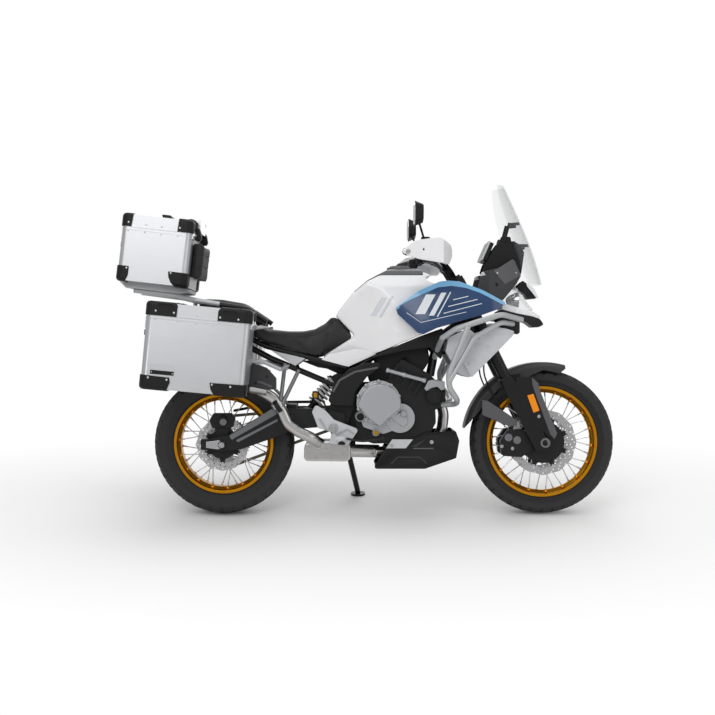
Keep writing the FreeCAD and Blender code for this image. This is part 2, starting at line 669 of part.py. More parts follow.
def make_front_fender():
    """A fender bent around the tyre, with the guards down the fork sliders."""
    outer = size("front_tyre_radius") + 34
    inner = outer - 4
    ring = turned("FenderRing", ((inner - 60, 72), (inner - 20, 70), (inner, 52), (inner, -52), (inner - 20, -70),
                                 (inner - 60, -72), (inner - 60, -76), (inner - 16, -74), (outer, -56), (outer, 56),
                                 (inner - 16, 74), (inner - 60, 76)), FRONT_AXLE)
    top = FRONT_AXLE.z
    keep = slab("FenderKeep", ((1030, 380), (1080, 372), (1250, 570), (1330, 600), (1452, 655), (1530, 640),
                               (1556, 664), (1552, 720), (1040, 720)), -80, 80)
    pieces = [common("FenderShell", [ring, keep])]
    rooms = []
    for side, side_name in SIDES:
        y = side * (FORK_SIDE + size("fork_tube_radius") + 2)
        guard = [on_steering(s, a) for s, a in ((-34, 64), (50, 74), (300, 62), (345, 50), (345, 6), (290, 0),
                                                (50, 4), (-20, 8))]
        room = rod("ForkRoom" + side_name, "Sizes.fork_tube_radius + Sizes.seat_gap", on_steering(250, 30, side * FORK_SIDE),
                   on_steering(500, 30, side * FORK_SIDE))
        rooms.append(room)
        drawing = outline_sketch("GuardStrip" + side_name, [(p.x, p.z) for p in guard], 12,
                                 Placement(Vector(0, y - 2.5, 0), Rotation(ALONG_X, 90)))
        pieces.append(extrusion("GuardPlate" + side_name, drawing, ALONG_Y, 5))
        stay_top = on_steering(338, 30)
        stay_y = side * 66
        bridge = box("FenderStay" + side_name, (stay_top.x - 34, min(stay_y, y), stay_top.z - 12),
                     (stay_top.x + 34, max(stay_y, y), stay_top.z - 4))
        pieces.append(bridge)
    return cut("FrontFender", fuse("FenderWhole", pieces), together("FenderRooms", rooms))


def make_front_calipers(fork):
    calipers = []
    for side, side_name in SIDES:
        y = side * size("front_disc_place")
        outline = ((1262, 268), (1352, 262), (1404, 300), (1396, 352), (1352, 390), (1290, 384), (1256, 336))
        inside, outside = sorted((y - side * 24, y + side * 30))
        block = slab("CaliperBlock" + side_name, outline, inside, outside, 14)
        slot = turned("CaliperSlot" + side_name,
                      ((0, -size("disc_thickness") / 2 - size("moving_gap")),
                       (size("front_disc_radius") + size("moving_gap"), -size("disc_thickness") / 2 - size("moving_gap")),
                       (size("front_disc_radius") + size("moving_gap"), size("disc_thickness") / 2 + size("moving_gap")),
                       (0, size("disc_thickness") / 2 + size("moving_gap"))), FRONT_AXLE + ALONG_Y * y)
        calipers.append(cut("Caliper" + side_name, block, slot))
    pair = together("CaliperPairRaw", calipers)
    return cut("CaliperPair", pair, fork)


# ---------------------------------------------------------------- frame and running gear

def make_main_frame():
    """Head tube, twin beams, front tubes, pivot plates and the side stand lug."""
    half = size("frame_half_width")
    radius = size("frame_tube_radius")
    head = rod("HeadTubeBody", "Sizes.head_tube_radius", on_steering(HEAD_BOTTOM), on_steering(HEAD_TOP))
    pieces = [head]
    for side, side_name in SIDES:
        beam = [tuple(on_steering(HEAD_BOTTOM + 92, -14, side * 18)), (station(985), side * 58, 892),
                (station(720), side * half, 752), (station(600), side * half, 655),
                (station(535), side * half, 560)]
        pieces.append(tube("Beam" + side_name, "Sizes.frame_tube_radius", beam, 90))
        down = [tuple(on_steering(HEAD_BOTTOM + 40, -14, side * 14)), (station(1008), side * 42, 826),
                (station(962), side * (half - 24), 735), (station(942), side * (half - 12), 630)]
        pieces.append(tube("DownTube" + side_name, "Sizes.frame_tube_radius - 3", down, 60))
        plate = ((500, 640), (560, 640), (610, 560), (590, 480), (560, 405), (545, 352), (500, 352), (470, 410),
                 (480, 480), (505, 560))
        low, high = sorted((side * half, side * (half + 12)))
        pieces.append(slab("PivotPlate" + side_name, plate, low, high, 18))
    pieces.append(rod("UpperCross", "Sizes.frame_tube_radius - 5", (station(520), -half, 620), (station(520), half, 620)))
    pieces.append(rod("MiddleCross", "Sizes.frame_tube_radius - 4", (station(820), -half + 10, 806),
                      (station(820), half - 10, 806)))
    lug = slab("StandLug", ((515, 360), (600, 360), (600, 300), (585, 262), (540, 258), (515, 300)), half - 12, half + 12,
               10)
    boss = rod("StandBoss", "16", STAND_ROOT - STAND_AXIS * 6, STAND_ROOT + STAND_AXIS * 30)
    pin = rod("StandPin", "Sizes.stand_pin_radius", STAND_ROOT + STAND_AXIS * 28, STAND_ROOT + STAND_AXIS * 69)
    head_pin = rod("StandPinHead", "Sizes.stand_pin_radius + 5", STAND_ROOT + STAND_AXIS * 65,
                   STAND_ROOT + STAND_AXIS * 70)
    pieces += [lug, boss, pin, head_pin]
    whole = fuse("MainFrameBody", pieces)
    bores = [rod("HeadBore", "Sizes.stem_radius + Sizes.running_fit", on_steering(HEAD_BOTTOM - 30),
                 on_steering(HEAD_TOP + 30)),
             across("PivotHole", "Sizes.pivot_radius", "2 * Sizes.swingarm_half_width + 80", PIVOT.x, PIVOT.z)]
    return cut("MainFrame", whole, fuse("FrameBores", bores))


def make_subframe():
    half = size("subframe_half_width")
    pieces = []
    for side, side_name in SIDES:
        y = side * half
        upper = [(station(560), y, 668), (station(430), y, 702), (station(200), y, 762), (-150, side * 92, 928)]
        lower = [(station(512), y, 585), (station(420), y, 622), (station(207), y, 712), (station(60), y, 790)]
        pieces.append(tube("UpperRail" + side_name, "Sizes.subframe_tube_radius", upper, 60))
        pieces.append(tube("LowerRail" + side_name, "Sizes.subframe_tube_radius - 1", lower, 60))
        strut = rod("RailStrut" + side_name, "Sizes.subframe_tube_radius - 3", (station(335), y, 655),
                    (station(300), y, 738))
        pieces.append(strut)
    for name, x, z, reach in (("FrontTie", 470, 691, half), ("MiddleTie", 150, 790, half), ("RearTie", -120, 912, 96)):
        pieces.append(rod(name, "Sizes.subframe_tube_radius - 2", (station(x), -reach, z), (station(x), reach, z)))
    return fuse("SubframeBody", pieces)


def make_swingarm():
    half = size("swingarm_half_width")
    thick = size("swingarm_thickness")
    arm = ((-72, 330), (-48, 350), (30, 364), (226, 484), (360, 486), (480, 478), (552, 462), (552, 424), (470, 402),
           (330, 392), (224, 349), (91, 302), (6, 292), (-64, 300))
    pieces = []
    for side, side_name in SIDES:
        low, high = sorted((side * half, side * (half - thick)))
        pieces.append(slab("SwingarmSide" + side_name, arm, low, high, 12))
        adjuster = slab("Adjuster" + side_name, ((-94, 346), (-40, 346), (-40, 298), (-94, 298)),
                        *sorted((side * (half + 2), side * (half - thick + 2))), 6)
        pieces.append(adjuster)
        nut = cylinder("AxleNut" + side_name, "17", str(7), (0, side * half if side > 0 else -half - 7,
                                                           REAR_AXLE.z), ALONG_Y)
        pieces.append(nut)
    pieces.append(slab("SwingarmBridge", ((352, 482), (470, 476), (470, 408), (352, 400)), -half + 1, half - 1, 14))
    pieces.append(across("RearAxle", "Sizes.axle_radius", "2 * Sizes.swingarm_half_width - 4", REAR_AXLE.x,
                         REAR_AXLE.z))
    whole = fuse("SwingarmBody", pieces)
    # room for the pivot plates and for the front sprocket and chain
    inner = size("frame_half_width") + 12 + GAP
    front_room = box("SwingarmRoom", (PIVOT.x - 58, -inner, PIVOT.z - 120), (PIVOT.x + 120, inner, PIVOT.z + 120))
    chain_room = box("ChainRoom", (PIVOT.x - 190, size("chain_place") - 11, PIVOT.z + 9),
                     (PIVOT.x - 30, size("chain_place") + 11, PIVOT.z + 60))
    arm_body = cut("SwingarmOpen", whole, fuse("SwingarmRooms", [front_room, chain_room]))
    shaft = across("PivotShaft", "Sizes.pivot_radius - Sizes.running_fit", "2 * Sizes.swingarm_half_width",
                   PIVOT.x, PIVOT.z)
    return fuse("Swingarm", [arm_body, shaft])


def make_rear_shock():
    """Spring and damper ahead of the rear tyre."""
    top = Vector(station(514), 0, 622)
    foot = Vector(station(408), 0, 500)
    pieces = [rod("DamperBody", "18", foot, top), rod("ShockFoot", "12", foot - ALONG_Z * 26, foot)]
    turns = 6
    for turn in range(turns):
        place = foot + (top - foot) * ((turn + 1.2) / (turns + 1.6))
        coil = doc.addObject("Part::Torus", "SpringTurn%d" % turn)
        coil.Radius1 = 33
        coil.Radius2 = 6
        coil.Placement = Placement(place, Rotation(ALONG_Z, (top - foot) + Vector(9, 0, 0)))
        pieces.append(coil)
    for name, where in (("SpringSeatLow", 0.03), ("SpringSeatHigh", 0.93)):
        start = foot + (top - foot) * where
        pieces.append(rod(name, "38", start, start + (top - foot) * 0.07))
    core = rod("SpringCore", "31", foot + (top - foot) * 0.05, foot + (top - foot) * 0.95)
    return fuse("RearShock", pieces + [core])


def make_chain():
    """A closed loop of the chain's outline round both sprockets, toothed with its rollers' waists."""
    front_place = Vector(PIVOT.x + 46, 0, PIVOT.z + 4)
    rear_r = sprocket_pitch_radius("rear_sprocket_teeth")
    front_r = sprocket_pitch_radius("front_sprocket_teeth")
    span = front_place - REAR_AXLE
    base = math.atan2(span.z, span.x)
    spread = math.acos((rear_r - front_r) / span.Length)
    loops = []
    for name, grow, low, high in (("ChainOuter", 7.4, -8, 8), ("ChainInner", -CHAIN_WAIST, -20, 20)):
        rear = rear_r + grow
        ahead = front_r + grow
        corners = []
        for sign in (1, -1):
            angle = base + sign * spread
            normal = Vector(math.cos(angle), 0, math.sin(angle))
            corners.append((REAR_AXLE + normal * rear, front_place + normal * ahead))
        (top_rear, top_front), (low_rear, low_front) = corners
        back = REAR_AXLE - Vector(math.cos(base), 0, math.sin(base)) * rear
        nose = front_place + Vector(math.cos(base), 0, math.sin(base)) * ahead
        edges = [Part.LineSegment(top_rear, top_front).toShape(), Part.Arc(top_front, nose, low_front).toShape(),
                 Part.LineSegment(low_front, low_rear).toShape(), Part.Arc(low_rear, back, top_rear).toShape()]
        route = doc.addObject("Part::Feature", name + "Line")
        route.Shape = Part.Wire(edges)
        route.Placement = Placement(Vector(0, size("chain_place") + low, 0), Rotation())
        loops.append(extrusion(name, route, ALONG_Y, high - low))
    return cut("ChainLoop", loops[0], loops[1])


# ---------------------------------------------------------------- engine, exhaust and cooling

# half width over the cooling ribs of the cylinders and head
HEAD_HALF = 140


def make_crankcase():
    half = size("engine_half_width")
    outline = ((606, 470), (640, 575), (700, 612), (880, 600), (958, 520), (962, 420), (925, 352), (840, 330),
               (680, 326), (600, 352))
    inner = size("chain_place") - 12
    body = slab("CrankcaseBody", outline, -half, half, 24)
    rear = slab("GearboxBody", ((560, 600), (700, 600), (700, 340), (600, 340), (556, 400)), -inner, inner, 20)
    sprocket_place = (station(566), size("chain_place") - 10, PIVOT.z + 4)
    room = cylinder("SprocketRoom", str(sprocket_pitch_radius("front_sprocket_teeth") + 14), "60", sprocket_place,
                    ALONG_Y)
    shaft = cylinder("OutputShaft", "13", "24", (sprocket_place[0], inner - 1, sprocket_place[2]), ALONG_Y)
    # the chain lies on this sprocket
    sprocket = cylinder("FrontSprocket", str(sprocket_pitch_radius("front_sprocket_teeth") - CHAIN_WAIST - GAP), "6",
                        (sprocket_place[0], size("chain_place") - 3, sprocket_place[2]), ALONG_Y)
    return fuse("Crankcase", [cut("CrankcaseOpen", fuse("CrankcaseWhole", [body, rear]), room), shaft, sprocket])


def make_engine_covers():
    """Round clutch cover on the right, generator cover on the left, with raised faces and bolt bosses."""
    half = size("engine_half_width")
    covers = []
    depth = size("cover_depth")
    layout = (
        # side, centre x, z, radius as an expression of the clutch cover, lobe x, z, lobe radius
        (-1, "Right", 704, 512, 0, 800, 442, 66),
        (1, "Left", 742, 470, -14, 830, 468, 58),
    )
    for side, side_name, x, z, extra, lobe_x, lobe_z, lobe_r in layout:
        radius = size("clutch_cover_radius") + extra
        low = side * half if side > 0 else -half - depth * 0.62
        pieces = [cylinder("Cover%sBase" % side_name, str(radius), "Sizes.cover_depth * 0.62",
                           (station(x), low, z), ALONG_Y)]
        lobe_low = side * half if side > 0 else -half - depth * 0.5
        pieces.append(cylinder("Cover%sLobe" % side_name, str(lobe_r), "Sizes.cover_depth * 0.5",
                               (station(lobe_x), lobe_low, lobe_z), ALONG_Y))
        pieces.append(slab("Cover%sSkirt" % side_name,
                           ((x - 95, z - 20), (x - 70, z - 110), (x + 20, z - 142), (lobe_x + 40, lobe_z - 30),
                            (lobe_x + 50, lobe_z + 40), (x, z + 60)),
                           *sorted((side * half, side * (half + depth * 0.45))), 16))
        face_low = side * (half + depth * 0.6) if side > 0 else -half - depth
        pieces.append(cylinder("Cover%sFace" % side_name, str(radius - 16), "Sizes.cover_depth * 0.4",
                               (station(x), face_low, z), ALONG_Y))
        for bolt in range(10):
            angle = 2 * math.pi * (bolt + 0.5) / 10
            bolt_low = low if side > 0 else -half - depth * 0.72
            pieces.append(cylinder("Cover%sBolt%d" % (side_name, bolt), "8", "Sizes.cover_depth * 0.72",
                                   (station(x) + (radius - 4) * math.cos(angle), bolt_low,
                                    z + (radius - 4) * math.sin(angle)), ALONG_Y))
        covers.append(fuse("Cover" + side_name, pieces))
    # coolant tube along the outside of the cylinders
    tube_y = -HEAD_HALF - 9 - GAP
    start = Vector(station(738), tube_y, 657)
    end = Vector(station(916), tube_y, 608)
    along = (end - start).normalize()
    tube_pieces = [rod("CoolantTube", "9", start, end)]
    for index, where in enumerate((0, 0.42, 0.93)):
        ring = start + (end - start) * where
        tube_pieces.append(rod("CoolantRing%d" % index, "11.5", ring, ring + along * 12))
    covers.append(fuse("CoolantPipe", tube_pieces))
    return together("EngineCovers", covers)


def make_engine_head():
    """Cylinders and head, leaning forward, with cooling ribs round them."""
    half = HEAD_HALF
    outline = ((712, 560), (808, 706), (932, 640), (1004, 566), (1006, 492), (930, 470), (760, 470))
    core = slab("HeadCore", outline, -half + 14, half - 14, 12)
    pieces = [core]
    for rib in range(5):
        x = 778 + 27 * rib
        z = 672 - 19 * rib
        outline = ((x - 30, z - 46), (x + 14, z + 18), (x + 24, z + 12), (x - 20, z - 52))
        pieces.append(slab("HeadRib%d" % rib, outline, -half, half))
    cap = across("HeadCap", "33", str(2 * half + 14), station(951), 543)
    head = fuse("EngineHeadBody", pieces + [cap])
    return head


def make_headers():
    """Two header pipes from the head down under the engine into the collector."""
    pipes = []
    radius = size("header_radius")
    for side, side_name in SIDES:
        y = side * 58
        route = [(station(988), y, 512), (station(1006), y, 455), (station(996), y, 370), (station(930), y * 0.9, 296),
                 (station(800), y * 0.75, 282), (station(690), -34 + side * 24, 284)]
        pipes.append(tube("Header" + side_name, "Sizes.header_radius", route, 90))
        pipes.append(rod("HeaderFlange" + side_name, "Sizes.header_radius + 8", (station(984), y, 524),
                         (station(989), y, 508)))
    joined = rod("HeaderJoined", "27", (station(706), -34, 285), (station(572), -50, 289))
    return fuse("ExhaustHeaders", pipes + [joined])


def make_collector():
    body = slab("CollectorBody", ((370, 250), (374, 322), (400, 336), (560, 335), (576, 310), (576, 256), (556, 248)),
                -128, 40, 18)
    return body


def make_exhaust_pipe():
    y = -(size("swingarm_half_width") + size("exhaust_radius") + 9)
    route = [(station(452), -100, 316), (station(402), y + 6, 356), (station(345), y, 382), (station(300), y, 416),
             (station(276), y, 470), (station(240), y, 528), (station(176), y - 4, 568), (station(118), y - 8, 590)]
    pipe = tube("ExhaustRun", "Sizes.exhaust_radius", route, 60)
    clamp = rod("ExhaustClamp", "Sizes.exhaust_radius + 5", (station(262), y, 490), (station(248), y, 512))
    return fuse("ExhaustPipeBody", [pipe, clamp])


def make_muffler():
    """Oval muffler with a heat cover, beside the rear wheel."""
    tall = size("muffler_half_height")
    wide = size("muffler_half_width")
    y = -(size("swingarm_half_width") + size("exhaust_radius") + 20)
    start = Vector(station(214), y, 600)
    end = Vector(-190, y - 4, 668)
    along = (end - start).normalize()
    sideways = ALONG_Y
    upward = along.cross(sideways)
    place = Placement(start, Rotation(sideways, upward, along, "ZXY"))
    oval = outline_sketch("MufflerOval", ((-wide, -tall), (wide, -tall), (wide, tall), (-wide, tall)), wide * 0.92, place)
    can = extrusion("MufflerCan", oval, along, (end - start).Length)
    tip = rod("MufflerTip", "24", end - along * 6, end + along * 30)
    hole = rod("MufflerHole", "20", end - along * 60, end + along * 60)
    band = outline_sketch("MufflerBandOval", ((-wide - 3, -tall - 3), (wide + 3, -tall - 3), (wide + 3, tall + 3),
                                              (-wide - 3, tall + 3)), wide * 0.92, place)
    strap = extrusion("MufflerStrap", band, along, 18)
    strap.Placement = Placement(along * 190, Rotation())
    hanger = slab("MufflerHanger", ((40, 640), (120, 640), (150, 735), (100, 735)), -size("subframe_half_width") - 24,
                  -size("subframe_half_width") - 14, 8)
    return cut("MufflerBody", fuse("MufflerWhole", [can, tip, strap, hanger]), hole)


def make_skid_plate():
    """A bent plate under the engine, open at the top, with side walls and a recess."""
    half = size("skid_half_width")
    wall = size("skid_wall")
    outside = ((679, 214), (731, 303), (761, 348), (862, 348), (918, 376), (1050, 384), (1066, 340), (1052, 262),
               (912, 214))
    inside = ((660, 214 + wall), (700, 420), (1046 - wall, 420), (1066 - wall - 4, 340), (1048 - wall, 264 + wall),
              (910, 214 + wall))
    body = slab("SkidOutside", outside, -half, half, 10)
    room = slab("SkidRoom", inside, -half + wall, half - wall, 8)
    plate = cut("SkidShell", body, room)
    slots = []
    for index, x in enumerate((760, 850)):
        slots.append(box("SkidSlot%d" % index, (station(x), -70, 200), (station(x) + 46, 70, 230)))
    return cut("SkidPlate", plate, fuse("SkidSlots", slots))


def make_radiator():
    half = size("radiator_half_width")
    thick = size("radiator_thickness")
    top = Vector(station(1022), 0, 806)
    low = Vector(station(1088), 0, 640)
    down = (low - top).normalize()
    ahead = down.cross(ALONG_Y) * -1
    if ahead.x < 0:
        ahead = ahead * -1
    place = Placement(top, Rotation(ALONG_Y, down, ALONG_Y.cross(down), "XYZ"))
    length = (low - top).Length
    drawing = sketch("CoreOutline", ((-half, 0), (half, 0), (half, length), (-half, length)), place)
    core = extrusion("RadiatorCore", drawing, ahead, thick)
    pieces = [core]
    for name, at in (("TankTop", 0), ("TankLow", length)):
        middle = top + down * at + ahead * (thick / 2)
        pieces.append(cylinder("Radiator" + name, str(thick * 0.62), str(2 * half), middle - ALONG_Y * half, ALONG_Y))
    for side, side_name in SIDES:
        pieces.append(box("RadiatorLug" + side_name, (station(966), side * 82 - 6, 728),
                          (station(1056), side * 82 + 6, 742)))
    slot_group = []
    for fin in range(9):
        start = top + down * (length * (fin + 1) / 10)
        slot = sketch("CoreSlot%d" % fin, ((-half + 14, -4), (half - 14, -4), (half - 14, 4), (-half + 14, 4)),
                      Placement(start + ahead * (thick - 6), Rotation(ALONG_Y, down, ALONG_Y.cross(down), "XYZ")))
        slot_group.append(extrusion("CoreGroove%d" % fin, slot, ahead, 12))
    return cut("Radiator", fuse("RadiatorWhole", pieces), fuse("CoreGrooves", slot_group))


def make_radiator_covers():
    half = size("cover_half_width")
    inner = size("radiator_half_width") + GAP
    outline = ((1127, 820), (1222, 850), (1302, 828), (1295, 810), (1112, 623), (1076, 689), (1076, 711), (1105, 777))
    back = ((1060, 640), (1112, 623), (1127, 820), (1100, 842), (1010, 800), (1000, 740))
    covers = []
    for side, side_name in SIDES:
        skin = slab("CoverSkin" + side_name, outline, *sorted((side * (half - 26), side * half)), 8)
        shelf = slab("CoverShroud" + side_name, back, *sorted((side * inner, side * (half - 12))), 10)
        room = slab("CoverRoom" + side_name, ((1010, 660), (1098, 646), (1108, 808), (1010, 780)),
                    *sorted((side * (inner + 12), side * (half - 18))), 6)
        covers.append(cut("RadiatorCover" + side_name, fuse("CoverWhole" + side_name, [skin, shelf]), room))
    return together("RadiatorCovers", covers)


# ---------------------------------------------------------------- bodywork

def steering_room(name, low, high, radius):
    """The space the fork legs and clamps sweep about the steering axis."""
    return rod(name, str(radius), on_steering(low), on_steering(high))


def sweep_radius():
    """How far the clamps' outer corners reach from the steering axis, with room to move."""
    return math.hypot(FORK_SIDE + CLAMP_EAR, size("clamp_offset") + CLAMP_LIP) + size("moving_gap")


def make_fuel_tank():
    half = size("tank_half_width")
    side = ((451, 700), (484, 846), (520, 918), (587, 1003), (655, 1057), (750, 1108), (791, 1122), (857, 1118),
            (948, 1083), (1021, 1065), (1000, 960), (903, 818), (693, 730), (565, 671))
    shape = slab("TankSide", side, -half, half, 24)
    top_view = both_ways(((445, 88), (520, 100), (610, 118), (700, 142), (790, half), (1030, half)))
    waist = plan("TankPlan", top_view, 640, 1150, 30)
    section = ((-half, 640), (-half - 2, 930), (-half + 16, 1030), (-half + 66, 1100), (0, 1128), (half - 66, 1100),
               (half - 16, 1030), (half + 2, 930), (half, 640))
    crown = front("TankSection", section, 430, 1060, 40)
    body = common("TankBody", [shape, waist, crown])
    inner = size("frame_half_width") + size("frame_tube_radius") + 6
    tunnel = slab("TankTunnel", ((1180, 1036), (985, 930), (715, 800), (600, 705), (440, 690), (440, 560), (1180, 560)),
                  -inner, inner)
    sweep = steering_room("TankSteering", HEAD_BOTTOM - 60, size("fork_top") + 60, sweep_radius())
    return cut("FuelTank", body, fuse("TankRooms", [tunnel, sweep]))


def make_tank_trim(tank):
    """Dark strips along both top edges and the filler cap with its ring."""
    strips = []
    for side, side_name in SIDES:
        outline = ((592, 975), (655, 1022), (750, 1072), (857, 1082), (905, 1066), (905, 1106), (857, 1123), (791, 1127),
                   (750, 1113), (655, 1062), (592, 1009))
        block = slab("TrimBlock" + side_name, outline, *sorted((side * 52, side * 106)), 10)
        strips.append(block)
    cap_place = Vector(station(800), 0, 1108)
    cap = cylinder("FillerCap", "44", "22", cap_place, ALONG_Z)
    ring = cylinder("FillerRing", "56", "17", cap_place, ALONG_Z)
    section = ((-108, 950), (-108, 1086), (-94, 1105), (0, 1133), (94, 1105), (108, 1086), (108, 950))
    cover = front("TrimSection", section, 580, 920, 10)
    strip_pair = common("TrimStrips", [together("TrimBlocks", strips), cover])
    return cut("TankTrim", together("TrimPieces", [strip_pair, fuse("FillerWhole", [cap, ring])]), tank)


def make_side_panels():
    """Front side panels over the tank's lower edge, bevelled along the top, hollow behind."""
    half = size("panel_half_width")
    inner = size("tank_half_width") + GAP
    outline = ((780, 933), (882, 1008), (975, 1050), (1012, 1054), (1063, 1050), (1161, 1012), (1268, 956),
               (1240, 929), (1161, 901), (975, 850), (905, 817), (878, 822), (789, 906))
    panels = []
    for side, side_name in SIDES:
        block = slab("PanelBlock" + side_name, outline, *sorted((side * inner, side * half)), 6)
        section = ((side * inner, 800), (side * (half - 20), 800), (side * half, 870), (side * (half - 6), 960),
                   (side * (half - 40), 1056), (side * inner, 1060))
        shape = front("PanelSection" + side_name, section, 770, 1290, 8)
        top_view = ((770, side * inner), (770, side * (inner + 14)), (900, side * (half - 12)), (1060, side * half),
                    (1200, side * (half - 18)), (1290, side * (inner + 24)), (1290, side * inner))
        panels.append(common("SidePanel" + side_name, [block, shape, plan("PanelPlan" + side_name, top_view, 790, 1080)]))
    return together("SidePanels", panels)


def make_nose_fairing():
    """Grey nose round the headlight, open at the rear for the steering."""
    half = size("tank_half_width")
    side = ((1164, 1094), (1243, 1117), (1315, 1161), (1352, 1084), (1330, 1046), (1290, 1000), (1266, 973), (1150, 900),
            (1130, 960))
    shape = slab("NoseSide", side, -half, half, 12)
    top_view = both_ways(((1120, half), (1200, half), (1280, 118), (1362, 70)))
    wedge = plan("NosePlan", top_view, 880, 1180, 30)
    body = common("NoseBody", [shape, wedge])
    room = plan("NoseRoom", both_ways(((1100, half - 14), (1195, half - 14), (1262, 100), (1330, 56))), 860, 1200, 24)
    return cut("NoseFairing", body, room)


def make_headlight():
    """Lamp body with two reflector bowls behind a clear face."""
    shape = slab("LampSide", ((1278, 1030), (1330, 1030), (1392, 950), (1412, 932), (1396, 918), (1300, 938),
                              (1262, 962)), -84, 84, 10)
    top_view = both_ways(((1255, 84), (1340, 84), (1420, 44)))
    body = common("LampBody", [shape, plan("LampPlan", top_view, 900, 1040, 16)])
    return body


def make_beak(name, side):
    """One half of the beak between two lines of its side view, hollow below and clear of the fork."""
    half = size("beak_half_width")
    shape = slab(name + "Side", side, -half, half, 4)
    top_view = both_ways(((1230, half), (1330, half - 4), (1420, 48), (1470, 20)))
    body = common(name + "Body", [shape, plan(name + "Plan", top_view, 800, 980, 14)])
    room = slab(name + "Room", ((1225, 860), (1330, 790), (1420, 840), (1380, 872), (1300, 900), (1250, 920)),
                -half + 12, half - 12, 6)
    sweep = steering_room(name + "Steering", HEAD_BOTTOM - 160, HEAD_BOTTOM + 60, sweep_radius())
    return cut(name, body, fuse(name + "Rooms", [room, sweep]))


# the line where the painted upper beak meets the black lower one
BEAK_SEAM = ((1262, 930), (1330, 912), (1404, 900), (1446, 888))


def make_upper_beak():
    seam = [(x, z + GAP) for x, z in BEAK_SEAM]
    return make_beak("Beak", [(1444, 902), (1402, 926), (1396, 928), (1300, 950), (1262, 962)] + seam)


def make_lower_beak():
    return make_beak("LowerBeak", [(1463, 864), (1440, 852), (1392, 850), (1330, 816), (1240, 870), (1250, 924)]
                     + list(BEAK_SEAM))


def screen_section(name, x, z, half, setback, thickness):
    """A thin crescent seen from above: the screen's section at one height."""
    outer = Part.Arc(Vector(x - setback, half, z), Vector(x, 0, z), Vector(x - setback, -half, z))
    inner = Part.Arc(Vector(x - setback - thickness, -half, z), Vector(x - thickness, 0, z),
                     Vector(x - setback - thickness, half, z))
    edges = [outer.toShape(), Part.LineSegment(outer.EndPoint, inner.StartPoint).toShape(), inner.toShape(),
             Part.LineSegment(inner.EndPoint, outer.StartPoint).toShape()]
    section = doc.addObject("Part::Feature", name)
    section.Shape = Part.Wire(edges)
    return section


def make_windscreen():
    # station, height, half width, setback of the side edges
    layout = ((1455, 1046, 112, 70), (1431, 1135, 168, 92), (1396, 1235, 182, 92), (1345, 1360, 160, 78),
              (1284, 1494, 96, 40))
    sections = []
    for index, (x, z, half, setback) in enumerate(layout):
        sections.append(screen_section("ScreenSection%d" % index, station(x), z, half, setback,
                                       size("screen_thickness") * 1.4))
    screen = doc.addObject("Part::Loft", "ScreenLoft")
    screen.Sections = sections
    screen.Solid = True
    screen.Ruled = False
    return screen


HOOD_HALF = 74


def make_dash_bracket():
    """Tubes and brackets between nose fairing, screen and display."""
    pieces = []
    for side, side_name in SIDES:
        y = side * 62
        pieces.append(tube("DashTube" + side_name, "6",
                           [(station(1232), y, 1040), (station(1262), y, 1180), (station(1300), y, 1325)], 40))
        pieces.append(slab("DashPlate" + side_name, ((1230, 1165), (1282, 1150), (1312, 1215), (1305, 1262), (1262, 1262)),
                           *sorted((y - 4, y + 4)), 8))
        pieces.append(rod("ScreenArm" + side_name, "7", (station(1298), y, 1318), (station(1346), y, 1322)))
        pieces.append(rod("ScreenStay" + side_name, "7", (station(1290), y, 1222), (station(1387), y, 1222)))
        pieces.append(rod("HeadStay" + side_name, "9", tuple(on_steering(HEAD_BOTTOM + 120, 20, side * 16)),
                          (station(1232), side * 16, 1040)))
    inside = size("tank_half_width") - 14 - GAP
    pieces.append(rod("NoseCross", "8", (station(1232), -inside, 1040), (station(1232), inside, 1040)))
    pieces.append(rod("DashCross", "6", (station(1248), -62, 1115), (station(1248), 62, 1115)))
    pieces.append(rod("DisplayArm", "9", (station(1248), 0, 1115), (station(1200), 0, 1176)))
    # a hood round the instruments, open at the rear and below
    hood = slab("HoodSide", ((1176, 1100), (1188, 1138), (1228, 1206), (1253, 1238), (1321, 1241), (1353, 1220),
                             (1366, 1188), (1352, 1090), (1243, 1090)), -HOOD_HALF, HOOD_HALF, 8)
    room = slab("HoodRoom", ((1150, 1070), (1160, 1100), (1214, 1208), (1247, 1231), (1318, 1234), (1346, 1215),
                             (1358, 1188), (1345, 1070)), -HOOD_HALF + 7, HOOD_HALF - 7, 6)
    pieces.append(cut("InstrumentHood", hood, room))
    return fuse("DashBracketBody", pieces)


def make_display():
    low = Vector(station(1171), 0, 1156)
    high = Vector(station(1208), 0, 1240)
    up = (high - low).normalize()
    back = Vector(-up.z, 0, up.x)
    place = Placement(low, Rotation(ALONG_Y * -1, up, ALONG_Y.cross(up) * -1, "XYZ"))
    drawing = outline_sketch("DisplayOutline", ((-84, 0), (84, 0), (84, (high - low).Length), (-84, (high - low).Length)),
                             10, place)
    return extrusion("DisplayBody", drawing, back * -1, 23)


def make_seat():
    half = size("seat_half_width")
    side = ((137, 812), (148, 872), (209, 838), (296, 829), (366, 829), (418, 839), (463, 864), (505, 905), (560, 850),
            (598, 811), (446, 716), (400, 716), (296, 752), (209, 776))
    shape = slab("SeatSide", side, -half, half, 10)
    top_view = both_ways(((130, half - 8), (260, half), (380, 132), (470, 114), (560, 112), (615, 122)))
    return common("SeatBody", [shape, plan("SeatPlan", top_view, 690, 930, 30)])


def make_rear_seat():
    half = size("rear_seat_half_width")
    side = ((-107, 978), (0, 972), (104, 954), (129, 937), (153, 909), (177, 900), (192, 876), (180, 862), (60, 880),
            (-118, 936))
    shape = slab("RearSeatSide", side, -half, half, 12)
    top_view = both_ways(((-122, half - 26), (-60, half), (120, half), (200, half - 20)))
    return common("RearSeatBody", [shape, plan("RearSeatPlan", top_view, 850, 1000, 30)])


